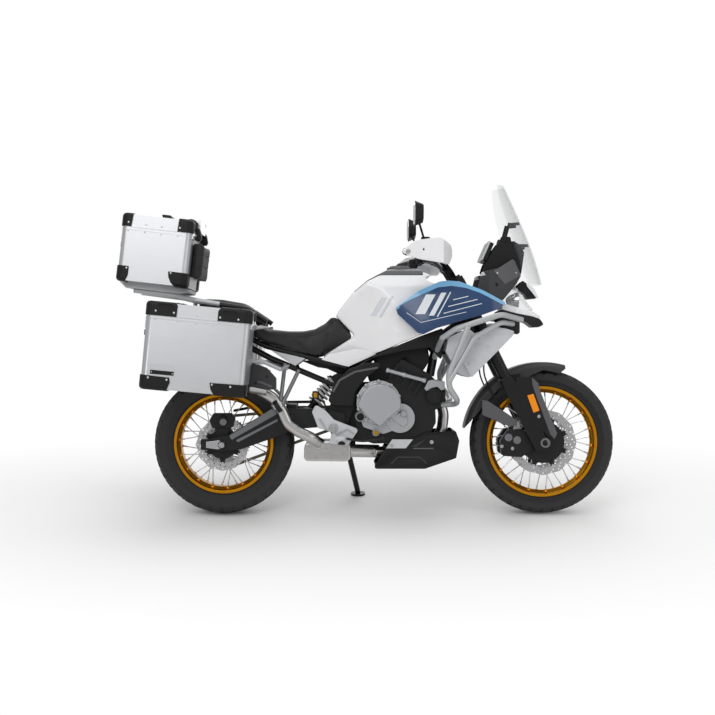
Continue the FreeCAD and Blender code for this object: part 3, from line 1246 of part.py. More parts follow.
def make_tail_cover():
    """Tail body under the passenger seat, tapering to the tail lamp."""
    side = ((-190, 962), (-118, 934), (60, 878), (156, 863), (160, 836), (132, 806), (40, 832), (-150, 900),
            (-198, 930))
    shape = slab("TailSide", side, -134, 134, 8)
    top_view = both_ways(((-200, 70), (-120, 108), (60, 134), (200, 134)))
    return common("TailBody", [shape, plan("TailPlan", top_view, 790, 990, 20)])


def make_tail_lamp():
    """Lamp with the plate holder, number plate blank and indicators below it."""
    lamp = slab("LampRear", ((-222, 962), (-199, 962), (-199, 928), (-214, 924)), -62, 62, 5)
    holder = slab("PlateArm", ((-206, 935), (-196, 935), (-196, 920), (-150, 906), (-222, 742), (-300, 648), (-310, 654), (-240, 756)), -34, 34, 3)
    plate = slab("PlateBoard", ((-262, 742), (-252, 740), (-322, 600), (-332, 602)), -90, 90)
    pieces = [lamp, holder, plate]
    for side, side_name in SIDES:
        stem = rod("IndicatorStem" + side_name, "6", (-214, side * 20, 760), (-214, side * 70, 760))
        pieces.append(stem)
        pieces.append(slab("Indicator" + side_name, ((-236, 774), (-190, 770), (-190, 752), (-236, 746)),
                           *sorted((side * 66, side * 112)), 6))
    return fuse("TailLampBody", pieces)


def make_frame_covers():
    """Dark covers over the pivot plates and below the tank."""
    inner = size("frame_half_width") + 12 + size("swingarm_thickness")
    outline = ((741, 690), (652, 690), (571, 662), (503, 593), (478, 520), (500, 500), (590, 496), (600, 560),
               (652, 627))
    covers = []
    for side, side_name in SIDES:
        covers.append(slab("FrameCover" + side_name, outline, *sorted((side * (size("frame_half_width") + 18), side * 168)),
                           14))
    return together("FrameCovers", covers)


def make_side_shrouds():
    """Dark panels along the tank's lower edges, over the frame beams."""
    outline = ((612, 670), (693, 726), (903, 813), (990, 845), (1000, 800), (985, 700), (934, 758), (809, 742), (677, 711))
    inner = size("frame_half_width") + size("frame_tube_radius") + GAP
    shrouds = []
    for side, side_name in SIDES:
        shrouds.append(slab("SideShroud" + side_name, outline, *sorted((side * inner, side * (inner + 28))), 6))
    return together("SideShrouds", shrouds)


def make_muffler_cover():
    """Heat cover on the muffler's outside."""
    outline = ((-150, 712), (117, 678), (168, 682), (210, 668), (252, 622), (252, 572), (205, 570), (121, 588), (-150, 640))
    face = -(size("swingarm_half_width") + size("exhaust_radius") + 20 + size("muffler_half_width") + GAP)
    return slab("MufflerCover", outline, face - 3, face, 10)


def make_footrests():
    """Footrest brackets bolted to the pivot plates, with their pegs."""
    rests = []
    low = size("swingarm_half_width") + size("moving_gap")
    outline = ((422, 503), (468, 475), (505, 435), (616, 392), (567, 320), (477, 329), (502, 379), (434, 397),
               (406, 469))
    for side, side_name in SIDES:
        bracket = slab("RestBracket" + side_name, outline, *sorted((side * low, side * (low + 22))), 12)
        spacer = cylinder("RestSpacer" + side_name, "12", str(low - size("frame_half_width") - 12 + 2),
                          (station(545), min(side * (low + 1), side * (size("frame_half_width") + 11)), 372), ALONG_Y)
        peg_start = (station(540), side * (low + 15), 352)
        peg_end = (station(532), side * (low + 118), 354)
        peg = rod("Peg" + side_name, "9", peg_start, peg_end)
        tread = box("PegTread" + side_name, (station(532) - 22, min(side * (low + 34), side * (low + 116)), 350),
                    (station(532) + 22, max(side * (low + 34), side * (low + 116)), 366))
        rests.append(fuse("Footrest" + side_name, [bracket, spacer, peg, tread]))
    return together("FootrestPair", rests)


def make_crash_bars():
    bars = []
    half = size("crash_bar_half_width")
    for side, side_name in SIDES:
        # station, distance from the centre plane, height
        hoop = ((984, 236, 800), (1040, half - 20, 838), (1098, half, 857), (1240, half - 30, 902), (1339, half - 110, 880))
        down = ((1091, half, 850), (1044, half, 732), (1006, half, 640), (1010, half - 10, 580),
                (1046, half - 50, 530), (1052, 176, 506), (992, 122, 500))
        lower = ((1010, half, 610), (1120, half - 20, 800), (1239, half - 40, 868), (1300, half - 110, 862))
        link = ((984, 240, 800), (972, 170, 764), (958, 88, 712))
        for name, route, radius in (("Hoop", hoop, 0), ("Down", down, 0), ("Lower", lower, -1.5), ("Link", link, 0)):
            points = [(station(x), side * y, z) for x, y, z in route]
            bars.append(tube("Bar%s%s" % (name, side_name), "Sizes.crash_bar_radius - %s" % (-radius), points, 60))
    return fuse("CrashBars", bars)


def make_rack():
    """Grab rails, rack plate and the arms that carry the top case."""
    pieces = []
    for side, side_name in SIDES:
        rail = [(station(205), side * 166, 872), (station(120), side * 160, 930), (-110, side * 160, 968),
                (-200, side * 120, 990), (-400, side * 96, 1016)]
        pieces.append(tube("GrabRail" + side_name, "11", rail, 60))
        pieces.append(rod("RailFoot" + side_name, "9", (station(116), side * 120, 790), (station(118), side * 160, 926)))
        pieces.append(rod("RailFootRear" + side_name, "9", (-118, side * 92, 916), (-118, side * 158, 970)))
    pieces.append(slab("RackPlate", ((-440, 1052), (-150, 1020), (-150, 1004), (-200, 1000), (-440, 1030)), -118, 118, 6))
    return fuse("RackBody", pieces)


def make_carriers():
    """Tube hoops that carry the side cases."""
    carriers = []
    y = size("side_case_inside") - size("carrier_radius") - GAP
    for side, side_name in SIDES:
        hoop = [(station(272), side * y, 659), (station(196), side * y, 693), (-60, side * y, 706),
                (-230, side * y, 720), (-250, side * y, 840), (-200, side * y, 868), (120, side * y, 838),
                (station(205), side * 170, 850)]
        pieces = [tube("CarrierHoop" + side_name, "Sizes.carrier_radius", hoop, 50)]
        for name, start, end in (
                ("Front", (station(272), side * y, 659), (station(300), side * size("subframe_half_width"), 676)),
                ("Rear", (-206, side * y, 866), (-150, side * 92, 928)),
                ("Top", (120, side * y, 838), (station(120), side * 150, 930))):
            pieces.append(rod("Carrier%s%s" % (name, side_name), "Sizes.carrier_radius - 1", start, end))
        carriers.append(fuse("Carrier" + side_name, pieces))
    return together("Carriers", carriers)


def make_rear_caliper():
    y = -size("rear_disc_place")
    block = slab("RearCaliperBlock", ((-46, 396), (46, 396), (58, 440), (40, 462), (-40, 462), (-58, 430)),
                 y - 26, y + 16, 8)
    reach = size("rear_disc_radius") + size("moving_gap")
    half = size("disc_thickness") / 2 + size("moving_gap")
    slot = turned("RearCaliperSlot", ((0, -half), (reach, -half), (reach, half), (0, half)), REAR_AXLE + ALONG_Y * y)
    arm_face = size("swingarm_half_width") - size("swingarm_thickness") - GAP
    carrier = slab("RearCaliperCarrier", ((-42, 440), (42, 440), (24, 338), (-24, 338)), -arm_face, -arm_face + 6, 8)
    piston = cylinder("RearPistonCap", "22", "12", (4, y - 34, 428), ALONG_Y)
    return fuse("RearCaliperBody", [cut("RearCaliperOpen", block, slot), carrier, piston])


def make_hugger():
    """Mudguard behind the shock over the rear tyre, with the chain guard on the left."""
    outer = size("rear_tyre_radius") + 18
    ring = turned("HuggerRing", ((outer - 4, -74), (outer, -76), (outer, 76), (outer - 4, 74)), REAR_AXLE)
    keep = slab("HuggerKeep", ((200, 480), (420, 480), (420, 640), (60, 700), (60, 640)), -90, 90)
    shell = common("HuggerShell", [ring, keep])
    guard = slab("ChainGuard", ((30, 470), (240, 510), (420, 512), (420, 500), (240, 498), (30, 458)),
                 size("chain_place") - 12, size("chain_place") + 20, 4)
    tab = slab("HuggerTab", ((291, 490), (332, 479), (332, 501), (291, 503)), -116, 116, 2)
    return fuse("HuggerBody", [shell, guard, tab])


# ---------------------------------------------------------------- side stand

def make_side_stand():
    """Eye on the pivot pin, leg and a flat foot that lies on the floor."""
    eye = rod("StandEye", "20", STAND_ROOT + STAND_AXIS * 31, STAND_ROOT + STAND_AXIS * 60)
    leg = rod("StandLeg", "Sizes.stand_radius", STAND_EYE, STAND_FOOT + FLOOR_UP * 10)
    foot = rod("StandFoot", "Sizes.stand_foot_radius", STAND_FOOT, STAND_FOOT + FLOOR_UP * 9)
    bore = rod("StandBore", "Sizes.stand_pin_radius + Sizes.running_fit", STAND_ROOT, STAND_ROOT + STAND_AXIS * 90)
    return cut("SideStandOpen", fuse("SideStandBody", [eye, leg, foot]), bore)


# ---------------------------------------------------------------- luggage

# case: rear lower corner along the bike, its height, nose-down pitch in degrees
TOP_CASE_CORNER = Vector(-459, 0, 1060)
TOP_CASE_PITCH = 6.5
SIDE_CASE_CORNER = Vector(-309, 0, 587)
SIDE_CASE_PITCH = 5.3


def case_place(corner, pitch, side=0):
    return Placement(corner + ALONG_Y * side, Rotation(ALONG_Y, pitch))


def tray(name, length, low_y, high_y, low_z, high_z, open_end):
    """A round-cornered sheet metal tray, open at its top or its bottom, in the case's own frame."""
    wall = size("case_wall")
    radius = size("case_corner_radius")
    outside = sketch_block(name + "Outside", (0, length, low_y, high_y, low_z, high_z), radius)
    room_low = low_z + wall if open_end == "top" else low_z - 5
    room_high = high_z + 5 if open_end == "top" else high_z - wall
    room = sketch_block(name + "Room", (wall, length - wall, low_y + wall, high_y - wall, room_low, room_high),
                        radius - wall)
    return cut(name, outside, room)


def sketch_block(name, limits, radius):
    low_x, high_x, low_y, high_y, low_z, high_z = limits
    corners = ((low_x, low_y), (high_x, low_y), (high_x, high_y), (low_x, high_y))
    drawing = outline_sketch(name + "Outline", corners, radius, Placement(Vector(0, 0, low_z), Rotation()))
    return extrusion(name, drawing, ALONG_Z, high_z - low_z)


def make_case(name, length, low_y, high_y, height, place, knob):
    """The case and its lid, hinged at the front edge and latched at the rear."""
    split = height - size("lid_height")
    barrel = size("hinge_barrel_radius")
    hinge_x = length + barrel + 0.6
    case = [tray(name + "Tray", length, low_y, high_y, 0, split, "top")]
    lid = [tray(name + "LidTray", length, low_y, high_y, split + GAP, height, "bottom")]
    middle = (low_y + high_y) / 2
    reach = (high_y - low_y) / 2 - 62
    bores = []
    for end_name, centre in (("A", middle - reach), ("B", middle + reach)):
        for part_name, group, start, end in (("Outer", case, -38, -16), ("Inner", case, 16, 38),
                                             ("Lid", lid, -15.5, 15.5)):
            knuckle = name + "Knuckle" + part_name + end_name
            group.append(cylinder(knuckle, "Sizes.hinge_barrel_radius", str(end - start),
                                  (hinge_x, centre + start, split), ALONG_Y))
            leaf_low = split + GAP + 0.2 if group is lid else split - 18
            leaf_high = split + 18 if group is lid else split - 0.2
            group.append(box(knuckle + "Leaf", (length - 1, centre + start, leaf_low),
                             (length + barrel, centre + end, leaf_high)))
        pin = cylinder(name + "Pin" + end_name, "Sizes.hinge_pin_radius", "80", (hinge_x, centre - 40, split), ALONG_Y)
        bores.append(cylinder(name + "Bore" + end_name, "Sizes.hinge_pin_radius + Sizes.running_fit", "31.4",
                              (hinge_x, centre - 15.7, split), ALONG_Y))
        case.append(pin)
        latch = middle + (reach - 8) * (-1 if end_name == "A" else 1)
        case.append(box(name + "Latch" + end_name, (-9, latch - 17, split - 52), (0.5, latch + 17, split - 4)))
        lid.append(box(name + "Catch" + end_name, (-6, latch - 12, split + 3), (0.5, latch + 12, split + 22)))
    if knob:
        lid.append(box(name + "LidBlock", (length - 34, -92, height - 1), (length + 20, 92, height + 16)))
        lid.append(box(name + "LidBlockFront", (length - 0.5, -92, split + 22), (length + 20, 92, height + 1)))
        lid.append(cylinder(name + "Knob", "22", "26", (length * 0.55, 0, height - 1), ALONG_Z))
    case_body = fuse(name + "CaseBody", case)
    lid_body = cut(name + "LidOpen", fuse(name + "LidBody", lid), fuse(name + "LidBores", bores))
    for body in (case_body, lid_body):
        body.Placement = place
    return case_body, lid_body


def make_top_case_pad():
    """Backrest pad on the front face of the top case."""
    length = size("top_case_length")
    pad = box("PadBlock", (length + GAP, -128, 44), (length + 48, 128, 208))
    pad.Placement = case_place(TOP_CASE_CORNER, TOP_CASE_PITCH).multiply(pad.Placement)
    return pad


def add_case_foot(rack):
    """The plate of the rack that the top case stands on."""
    foot = box("CaseFoot", (14, -118, -16), (size("top_case_length") - 14, 118, -GAP))
    foot.Placement = case_place(TOP_CASE_CORNER, TOP_CASE_PITCH).multiply(foot.Placement)
    return fuse("RackWithFoot", [rack, foot])


# ---------------------------------------------------------------- the whole machine

def build_cores():
    """Every sub-part upright in the bike frame, by node name."""
    cores = {}
    fork = make_fork()
    tank = make_fuel_tank()
    top_case, top_lid = make_case("TopCase", size("top_case_length"), -size("top_case_half_width"),
                                  size("top_case_half_width"), size("top_case_height"),
                                  case_place(TOP_CASE_CORNER, TOP_CASE_PITCH), True)
    side_cases = {}
    for side, side_name in SIDES:
        low, high = sorted((side * size("side_case_inside"),
                            side * (size("side_case_inside") + size("side_case_depth"))))
        side_cases[side_name] = make_case("SideCase" + side_name, size("side_case_length"), low, high,
                                          size("side_case_height"), case_place(SIDE_CASE_CORNER, SIDE_CASE_PITCH),
                                          False)
    cores["frame"] = fuse("Frame", [make_main_frame(), make_subframe()])
    cores["crankcase"] = make_crankcase()
    cores["engine_covers"] = make_engine_covers()
    cores["engine_head"] = make_engine_head()
    cores["exhaust"] = fuse("Exhaust", [make_headers(), make_collector(), make_exhaust_pipe()])
    cores["muffler"] = make_muffler()
    cores["skid_plate"] = make_skid_plate()
    cores["radiator"] = make_radiator()
    cores["radiator_covers"] = make_radiator_covers()
    cores["fuel_tank"] = tank
    cores["tank_trim"] = make_tank_trim(tank)
    cores["side_panels"] = make_side_panels()
    cores["nose_fairing"] = make_nose_fairing()
    cores["beak"] = make_upper_beak()
    cores["lower_beak"] = make_lower_beak()
    cores["headlight"] = make_headlight()
    cores["windscreen"] = make_windscreen()
    cores["dash_bracket"] = make_dash_bracket()
    cores["display"] = make_display()
    cores["seat"] = make_seat()
    cores["rear_seat"] = make_rear_seat()
    cores["tail_cover"] = make_tail_cover()
    cores["tail_lamp"] = make_tail_lamp()
    cores["frame_covers"] = make_frame_covers()
    cores["side_shrouds"] = make_side_shrouds()
    cores["muffler_cover"] = make_muffler_cover()
    cores["footrests"] = make_footrests()
    cores["crash_bars"] = make_crash_bars()
    cores["rack"] = fuse("Rack", [add_case_foot(make_rack()), make_carriers()])
    cores["top_case"] = top_case
    cores["top_case_pad"] = make_top_case_pad()
    cores["side_case_right"] = side_cases["Right"][0]
    cores["side_case_left"] = side_cases["Left"][0]
    cores["swingarm"] = make_swingarm()
    cores["rear_shock"] = make_rear_shock()
    cores["chain"] = make_chain()
    cores["hugger"] = make_hugger()
    cores["rear_caliper"] = make_rear_caliper()
    cores["fork"] = fork
    cores["handlebar"] = make_handlebar()
    cores["handguards"] = make_handguards()
    cores["mirrors"] = make_mirrors()
    cores["front_fender"] = make_front_fender()
    cores["front_calipers"] = make_front_calipers(fork)
    cores["front_tyre"] = make_tyre("front", FRONT_AXLE)
    cores["front_rim"] = make_rim("front", FRONT_AXLE)
    cores["front_hub"] = make_front_hub()
    cores["front_discs"] = make_front_discs()
    cores["rear_tyre"] = make_tyre("rear", REAR_AXLE)
    cores["rear_rim"] = make_rim("rear", REAR_AXLE)
    cores["rear_hub"] = make_rear_hub()
    cores["rear_disc"] = make_rear_disc()
    cores["rear_sprocket"] = make_sprocket("RearSprocket", "rear_sprocket_teeth",
                                           REAR_AXLE + ALONG_Y * size("chain_place"), 6,
                                           size("axle_radius") + 8, 6)
    cores["side_stand"] = make_side_stand()
    cores["top_case_lid"] = top_lid
    cores["side_case_lid_right"] = side_cases["Right"][1]
    cores["side_case_lid_left"] = side_cases["Left"][1]
    return cores


# piece, then the pieces whose room it leaves free
SEATED = (
    ("radiator", ("frame",)),
    ("rear_shock", ("frame", "swingarm")),
    ("hugger", ("swingarm",)),
    ("crankcase", ("frame", "swingarm")),
    ("engine_head", ("frame", "crankcase")),
    ("footrests", ("frame", "swingarm")),
    ("exhaust", ("engine_head", "crankcase", "muffler", "frame", "footrests")),
    ("engine_covers", ("engine_head",)),
    ("skid_plate", ("engine_covers",)),
    ("seat", ("frame",)),
    ("fuel_tank", ("seat", "frame")),
    ("rack", ("frame",)),
    ("rear_seat", ("seat", "rack")),
    ("tail_cover", ("seat", "frame", "rack", "tail_lamp", "rear_seat")),
    ("frame_covers", ("frame",)),
    ("side_shrouds", ("frame", "fuel_tank", "crash_bars", "engine_head", "radiator", "radiator_covers", "side_panels",
                      "frame_covers")),
    ("muffler_cover", ("exhaust", "rack", "muffler")),
    ("nose_fairing", ("headlight",)),
    ("beak", ("headlight", "nose_fairing")),
    ("dash_bracket", ("frame", "windscreen", "display", "nose_fairing")),
    ("crash_bars", ("frame", "engine_head")),
    ("handlebar", ("fork",)),
    ("handguards", ("handlebar",)),
    ("mirrors", ("handlebar",)),
)


def seat_pieces(cores):
    for node, others in SEATED:
        tools = [cores[other] for other in others]
        tool = tools[0] if len(tools) == 1 else together(node.title().replace("_", "") + "Neighbours", tools)
        cores[node] = cut(node.title().replace("_", "") + "Seated", cores[node], tool)
    return cores


def lean_over(cores):
    """The bike leaned to its left, its floor at Z 0 and its outline's middle at the origin."""
    turn = Placement(Vector(0, 0, 0), Rotation(ALONG_X, -size("lean_angle")))
    nodes = {}
    for node, core in cores.items():
        holder = doc.addObject("Part::Compound", "Node_" + node)
        holder.Label = node
        holder.Links = [core]
        nodes[node] = holder
    doc.recompute()
    limits = FreeCAD.BoundBox()
    for holder in nodes.values():
        shape = holder.Shape.copy()
        shape.Placement = turn
        limits.add(shape.optimalBoundingBox(False))
    shift = Vector(-(limits.XMin + limits.XMax) / 2, -(limits.YMin + limits.YMax) / 2, -limits.ZMin)
    for holder in nodes.values():
        holder.Placement = Placement(shift, turn.Rotation)
    doc.recompute()
    print("lean placement shift", [round(value, 4) for value in shift])
    return nodes


def check_and_write(nodes):
    for piece in doc.Objects:
        if "Invalid" in piece.State or "Error" in piece.State:
            raise RuntimeError("%s failed: %s" % (piece.Name, piece.State))
    os.makedirs("parts", exist_ok=True)
    for node, holder in nodes.items():
        shape = holder.Shape
        if shape.isNull() or not shape.isValid() or not shape.Solids:
            raise RuntimeError("%s has no valid solid" % node)
        shape.exportStep("parts/%s.step" % node)
        print("%-20s %2d solids %9.1f cm3" % (node, len(shape.Solids), shape.Volume / 1000))


NODES = lean_over(seat_pieces(build_cores()))
check_and_write(NODES)
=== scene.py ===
"""An adventure motorcycle with aluminium luggage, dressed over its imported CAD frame.

Pieces are modelled upright in the bike's own frame, in millimetres: X forward from the rear axle, Y to
the rider's left, Z up from the ground line. finish_piece then leans each one onto its side stand.
"""

import json
import math
from collections import namedtuple

import bmesh
import bpy
from mathutils import Matrix, Vector


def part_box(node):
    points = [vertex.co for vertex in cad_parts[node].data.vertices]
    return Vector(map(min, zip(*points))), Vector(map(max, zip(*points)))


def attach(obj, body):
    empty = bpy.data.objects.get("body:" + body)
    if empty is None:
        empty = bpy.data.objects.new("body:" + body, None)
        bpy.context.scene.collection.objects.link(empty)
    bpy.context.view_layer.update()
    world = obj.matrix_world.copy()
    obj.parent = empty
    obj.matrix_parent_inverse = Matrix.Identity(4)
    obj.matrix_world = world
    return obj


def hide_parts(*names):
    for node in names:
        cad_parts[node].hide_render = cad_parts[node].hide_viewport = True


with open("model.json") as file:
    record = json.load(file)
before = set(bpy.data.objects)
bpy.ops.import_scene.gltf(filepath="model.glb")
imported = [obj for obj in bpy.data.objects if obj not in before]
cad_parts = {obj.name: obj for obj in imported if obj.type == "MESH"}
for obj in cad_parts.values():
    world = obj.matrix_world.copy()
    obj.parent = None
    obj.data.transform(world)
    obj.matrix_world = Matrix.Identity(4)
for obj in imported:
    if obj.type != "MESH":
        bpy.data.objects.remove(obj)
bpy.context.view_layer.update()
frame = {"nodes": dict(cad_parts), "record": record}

MM = 0.001
LEAN = math.radians(10)
REAR_TYRE_RADIUS = 321
FRONT_TYRE_RADIUS = 329.3
WHEELBASE = 1453
REAR_AXLE = Vector((0, 0, REAR_TYRE_RADIUS))
FRONT_AXLE = Vector((WHEELBASE, 0, FRONT_TYRE_RADIUS))
SIDES = ((-1, "right"), (1, "left"))


def box_middle(node):
    low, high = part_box(node)
    return (Vector(low) + Vector(high)) / 2


# the bike's own frame in millimetres to the leaned frame in metres
LEANED = (Matrix.Translation(box_middle("rear_tyre")) @ Matrix.Rotation(-LEAN, 4, "X")
          @ Matrix.Scale(MM, 4) @ Matrix.Translation(-REAR_AXLE))
UPRIGHT = LEANED.inverted()


# ---------------------------------------------------------------- modelling helpers

def pick(obj):
    bpy.ops.object.select_all(action="DESELECT")
    obj.select_set(True)
    bpy.context.view_layer.objects.active = obj


def from_points(name, points, faces):
    mesh = bpy.data.meshes.new(name)
    mesh.from_pydata([tuple(point) for point in points], [], faces)
    obj = bpy.data.objects.new(name, mesh)
    bpy.context.collection.objects.link(obj)
    return obj


def face_outwards(obj, merge=0.01):
    """Merges doubles and turns every face of a closed shape outwards."""
    shape = bmesh.new()
    shape.from_mesh(obj.data)
    bmesh.ops.remove_doubles(shape, verts=shape.verts, dist=merge)
    bmesh.ops.recalc_face_normals(shape, faces=shape.faces)
    shape.to_mesh(obj.data)
    shape.free()
    return obj


def modified(obj, kind, **settings):
    """Adds a modifier with its settings and applies it."""
    pick(obj)
    change = obj.modifiers.new(kind.title(), kind)
    for key, value in settings.items():
        setattr(change, key, value)
    bpy.ops.object.modifier_apply(modifier=change.name)
    return obj


def bevelled(obj, width, segments=2, angle=32):
    return modified(obj, "BEVEL", width=width, segments=segments, limit_method="ANGLE",
                    angle_limit=math.radians(angle), use_clamp_overlap=True)


def joined(name, pieces):
    """One object from several."""
    bpy.ops.object.select_all(action="DESELECT")
    for piece in pieces:
        piece.select_set(True)
    bpy.context.view_layer.objects.active = pieces[0]
    if len(pieces) > 1:
        bpy.ops.object.join()
    pieces[0].name = name
    return pieces[0]


def copied(obj, name, matrix):
    """A copy with its own mesh, moved by a matrix."""
    other = obj.copy()
    other.data = obj.data.copy()
    other.name = name
    bpy.context.collection.objects.link(other)
    other.data.transform(matrix)
    return other


def removed(*pieces):
    for piece in pieces:
        bpy.data.objects.remove(piece, do_unlink=True)


def plate(name, outline, low_y, high_y):
    """A plate with an outline of (x, z) points between two distances across the bike."""
    count = len(outline)
    points = [(x, low_y, z) for x, z in outline] + [(x, high_y, z) for x, z in outline]
    faces = [tuple(range(count)), tuple(range(2 * count - 1, count - 1, -1))]
    for index in range(count):
        ahead = (index + 1) % count
        faces.append((index, index + count, ahead + count, ahead))
    return face_outwards(from_points(name, points, faces))


def block(name, low, high):
    outline = ((low[0], low[2]), (high[0], low[2]), (high[0], high[2]), (low[0], high[2]))
    return plate(name, outline, low[1], high[1])


def lathe(name, profile, centre, segments=96, closed=True):
    """A ring about an axle along Y, from a (distance, y) profile."""
    points = []
    faces = []
    count = len(profile)
    for step in range(segments):
        angle = 2 * math.pi * step / segments
        for distance, y in profile:
            points.append((centre[0] + distance * math.cos(angle), centre[1] + y,
                           centre[2] + distance * math.sin(angle)))
    last = count if closed else count - 1
    for step in range(segments):
        here = step * count
        there = ((step + 1) % segments) * count
        for index in range(last):
            ahead = (index + 1) % count
            faces.append((here + index, here + ahead, there + ahead, there + index))
    return face_outwards(from_points(name, points, faces))


def spindle(name, stations, start, end, segments=24):
    """A round shape along a line, from (distance along it, radius) stations."""
    start = Vector(start)
    axis = (Vector(end) - start).normalized()
    turn = axis.to_track_quat("Z", "Y").to_matrix()
    points = []
    faces = []
    for along, radius in stations:
        for step in range(segments):
            angle = 2 * math.pi * step / segments
            flat = Vector((radius * math.cos(angle), radius * math.sin(angle), along))
            points.append(start + turn @ flat)
    for ring in range(len(stations) - 1):
        for step in range(segments):
            ahead = (step + 1) % segments
            here = ring * segments
            faces.append((here + step, here + ahead, here + segments + ahead, here + segments + step))
    faces.append(tuple(range(segments)))
    faces.append(tuple(range((len(stations) - 1) * segments, len(stations) * segments)))
    return face_outwards(from_points(name, points, faces), 0.001)


def rod(name, radius, start, end, edge=1.0, segments=20):
    """A round bar whose ends have a small bevel."""
    length = (Vector(end) - Vector(start)).length
    edge = min(edge, radius * 0.5, length * 0.3)
    stations = ((0, radius - edge), (edge, radius), (length - edge, radius), (length, radius - edge))
    return spindle(name, stations, start, end, segments)


def pipe(name, radius, points, sides=12, smooth=True):
    """A round pipe or cable along a smooth line through its bends."""
    line = bpy.data.curves.new(name, "CURVE")
    line.dimensions = "3D"
    line.bevel_depth = radius
    line.bevel_resolution = max(1, sides // 4)
    line.use_fill_caps = True
    line.resolution_u = 8
    spline = line.splines.new("NURBS")
    spline.points.add(len(points) - 1)
    for place, point in zip(spline.points, points):
        place.co = (*point, 1)
    spline.order_u = 3 if smooth else 2
    spline.use_endpoint_u = True
    obj = bpy.data.objects.new(name, line)
    bpy.context.collection.objects.link(obj)
    pick(obj)
    bpy.ops.object.convert(target="MESH")
    return face_outwards(bpy.context.view_layer.objects.active, 0.001)


def cad_copy(node):
    """A merged, upright copy of a CAD node's mesh in millimetres."""
    source = frame["nodes"][node]
    copy = bpy.data.objects.new(node + "_dressed", source.data.copy())
    copy.data.materials.clear()
    bpy.context.collection.objects.link(copy)
    copy.data.transform(UPRIGHT)
    shape = bmesh.new()
    shape.from_mesh(copy.data)
    bmesh.ops.remove_doubles(shape, verts=shape.verts, dist=0.02)
    bmesh.ops.dissolve_limit(shape, angle_limit=math.radians(1.5), verts=shape.verts, edges=shape.edges)
    shape.to_mesh(copy.data)
    shape.free()
    return copy


def moulded_copy(node, voxel, passes):
    """A CAD node's shape with its edges run round, as moulding or casting leaves them."""
    copy = cad_copy(node)
    modified(copy, "REMESH", mode="VOXEL", voxel_size=voxel, adaptivity=0)
    return modified(copy, "SMOOTH", factor=0.5, iterations=passes)


CUSHION_PRESSURE = 4
CUSHION_STEPS = 20


def stuffed(cushion, shrink, reach):
    """Swells a cushion as pressed-up cloth out of a slightly smaller shape.

    No point of it moves further than its reach.
    """
    modified(cushion, "DISPLACE", strength=-shrink, mid_level=0)
    cushion.data.transform(Matrix.Scale(MM, 4))
    start = [vertex.co.copy() for vertex in cushion.data.vertices]
    pick(cushion)
    cloth = cushion.modifiers.new("cloth", "CLOTH")
    cloth.settings.use_pressure = True
    cloth.settings.uniform_pressure_force = CUSHION_PRESSURE
    cloth.settings.effector_weights.gravity = 0
    for step in range(1, CUSHION_STEPS + 1):
        bpy.context.scene.frame_set(step)
    bpy.ops.object.modifier_apply(modifier="cloth")
    bpy.context.scene.frame_set(1)
    for vertex, before in zip(cushion.data.vertices, start):
        moved = vertex.co - before
        if moved.length > reach * MM:
            vertex.co = before + moved.normalized() * reach * MM
    cushion.data.transform(Matrix.Scale(1 / MM, 4))
    modified(cushion, "SMOOTH", factor=0.5, iterations=3)
    return modified(cushion, "SUBSURF", levels=1, render_levels=1)


def sharp_copy(node, edge, segments=2):
    """A CAD node's shape with small bevels on its edges."""
    return bevelled(cad_copy(node), edge, segments)


def across(side, near, far):
    """The range across the bike between two distances out to one side."""
    return sorted((side * near, side * far))


def side_block(name, side, along, out, up):
    """A block by its ranges along the bike, out to one side and up."""
    low_y, high_y = across(side, *out)
    return block(name, (along[0], low_y, up[0]), (along[1], high_y, up[1]))


def beside(side, place):
    """An (along, out, up) place on one side of the bike."""
    along, out, up = place
    return along, side * out, up


def to_side(side, places):
    return [beside(side, place) for place in places]


def finish_piece(obj, body, material, replaced=(), angle=35):
    """Leans a piece over, smooths it, hands it to its body and material and hides the nodes it replaces.
    """
    obj.data.transform(LEANED)
    obj.data.materials.clear()
    obj.data.materials.append(material)
    for face in obj.data.polygons:
        face.material_index = 0
    pick(obj)
    bpy.ops.object.shade_smooth_by_angle(angle=math.radians(angle))
    # broad faces keep their flat shading beside their bevels
    modified(obj, "WEIGHTED_NORMAL", keep_sharp=True, weight=80)
    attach(obj, body)
    if replaced:
        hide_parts(*replaced)
    return obj


# ---------------------------------------------------------------- materials

def linear(code):
    """Scene colour of an sRGB hex value."""
    values = []
    for index in (0, 2, 4):
        part = int(code[index:index + 2], 16) / 255
        values.append(part / 12.92 if part <= 0.04045 else ((part + 0.055) / 1.055) ** 2.4)
    return (*values, 1.0)


def per_millimetre(length):
    """Texture scale in metre coordinates for a pattern of that length."""
    return 1000.0 / length


def add_node(owner, kind, settings, links):
    """A node with its settings, and its inputs linked to (node, output) pairs."""
    node = owner.node_tree.nodes.new(kind)
    for key, value in settings.items():
        if isinstance(key, int) or key in node.inputs:
            node.inputs[key].default_value = value
        else:
            setattr(node, key, value)
    for socket, (source, output) in links.items():
        link(owner, source, output, node, socket)
    return node


def new_material(name):
    """A material with its shader node and the piece's own coordinates."""
    material = bpy.data.materials.new(name)
    material.use_nodes = True
    shader = material.node_tree.nodes["Principled BSDF"]
    place = add_node(material, "ShaderNodeTexCoord", {}, {})
    return material, shader, place


def link(owner, source, output, target, socket):
    owner.node_tree.links.new(source.outputs[output], target.inputs[socket])


# colour sockets of a mix node, and its colour output
FIRST_COLOUR, SECOND_COLOUR, MIXED_COLOUR = 6, 7, 2


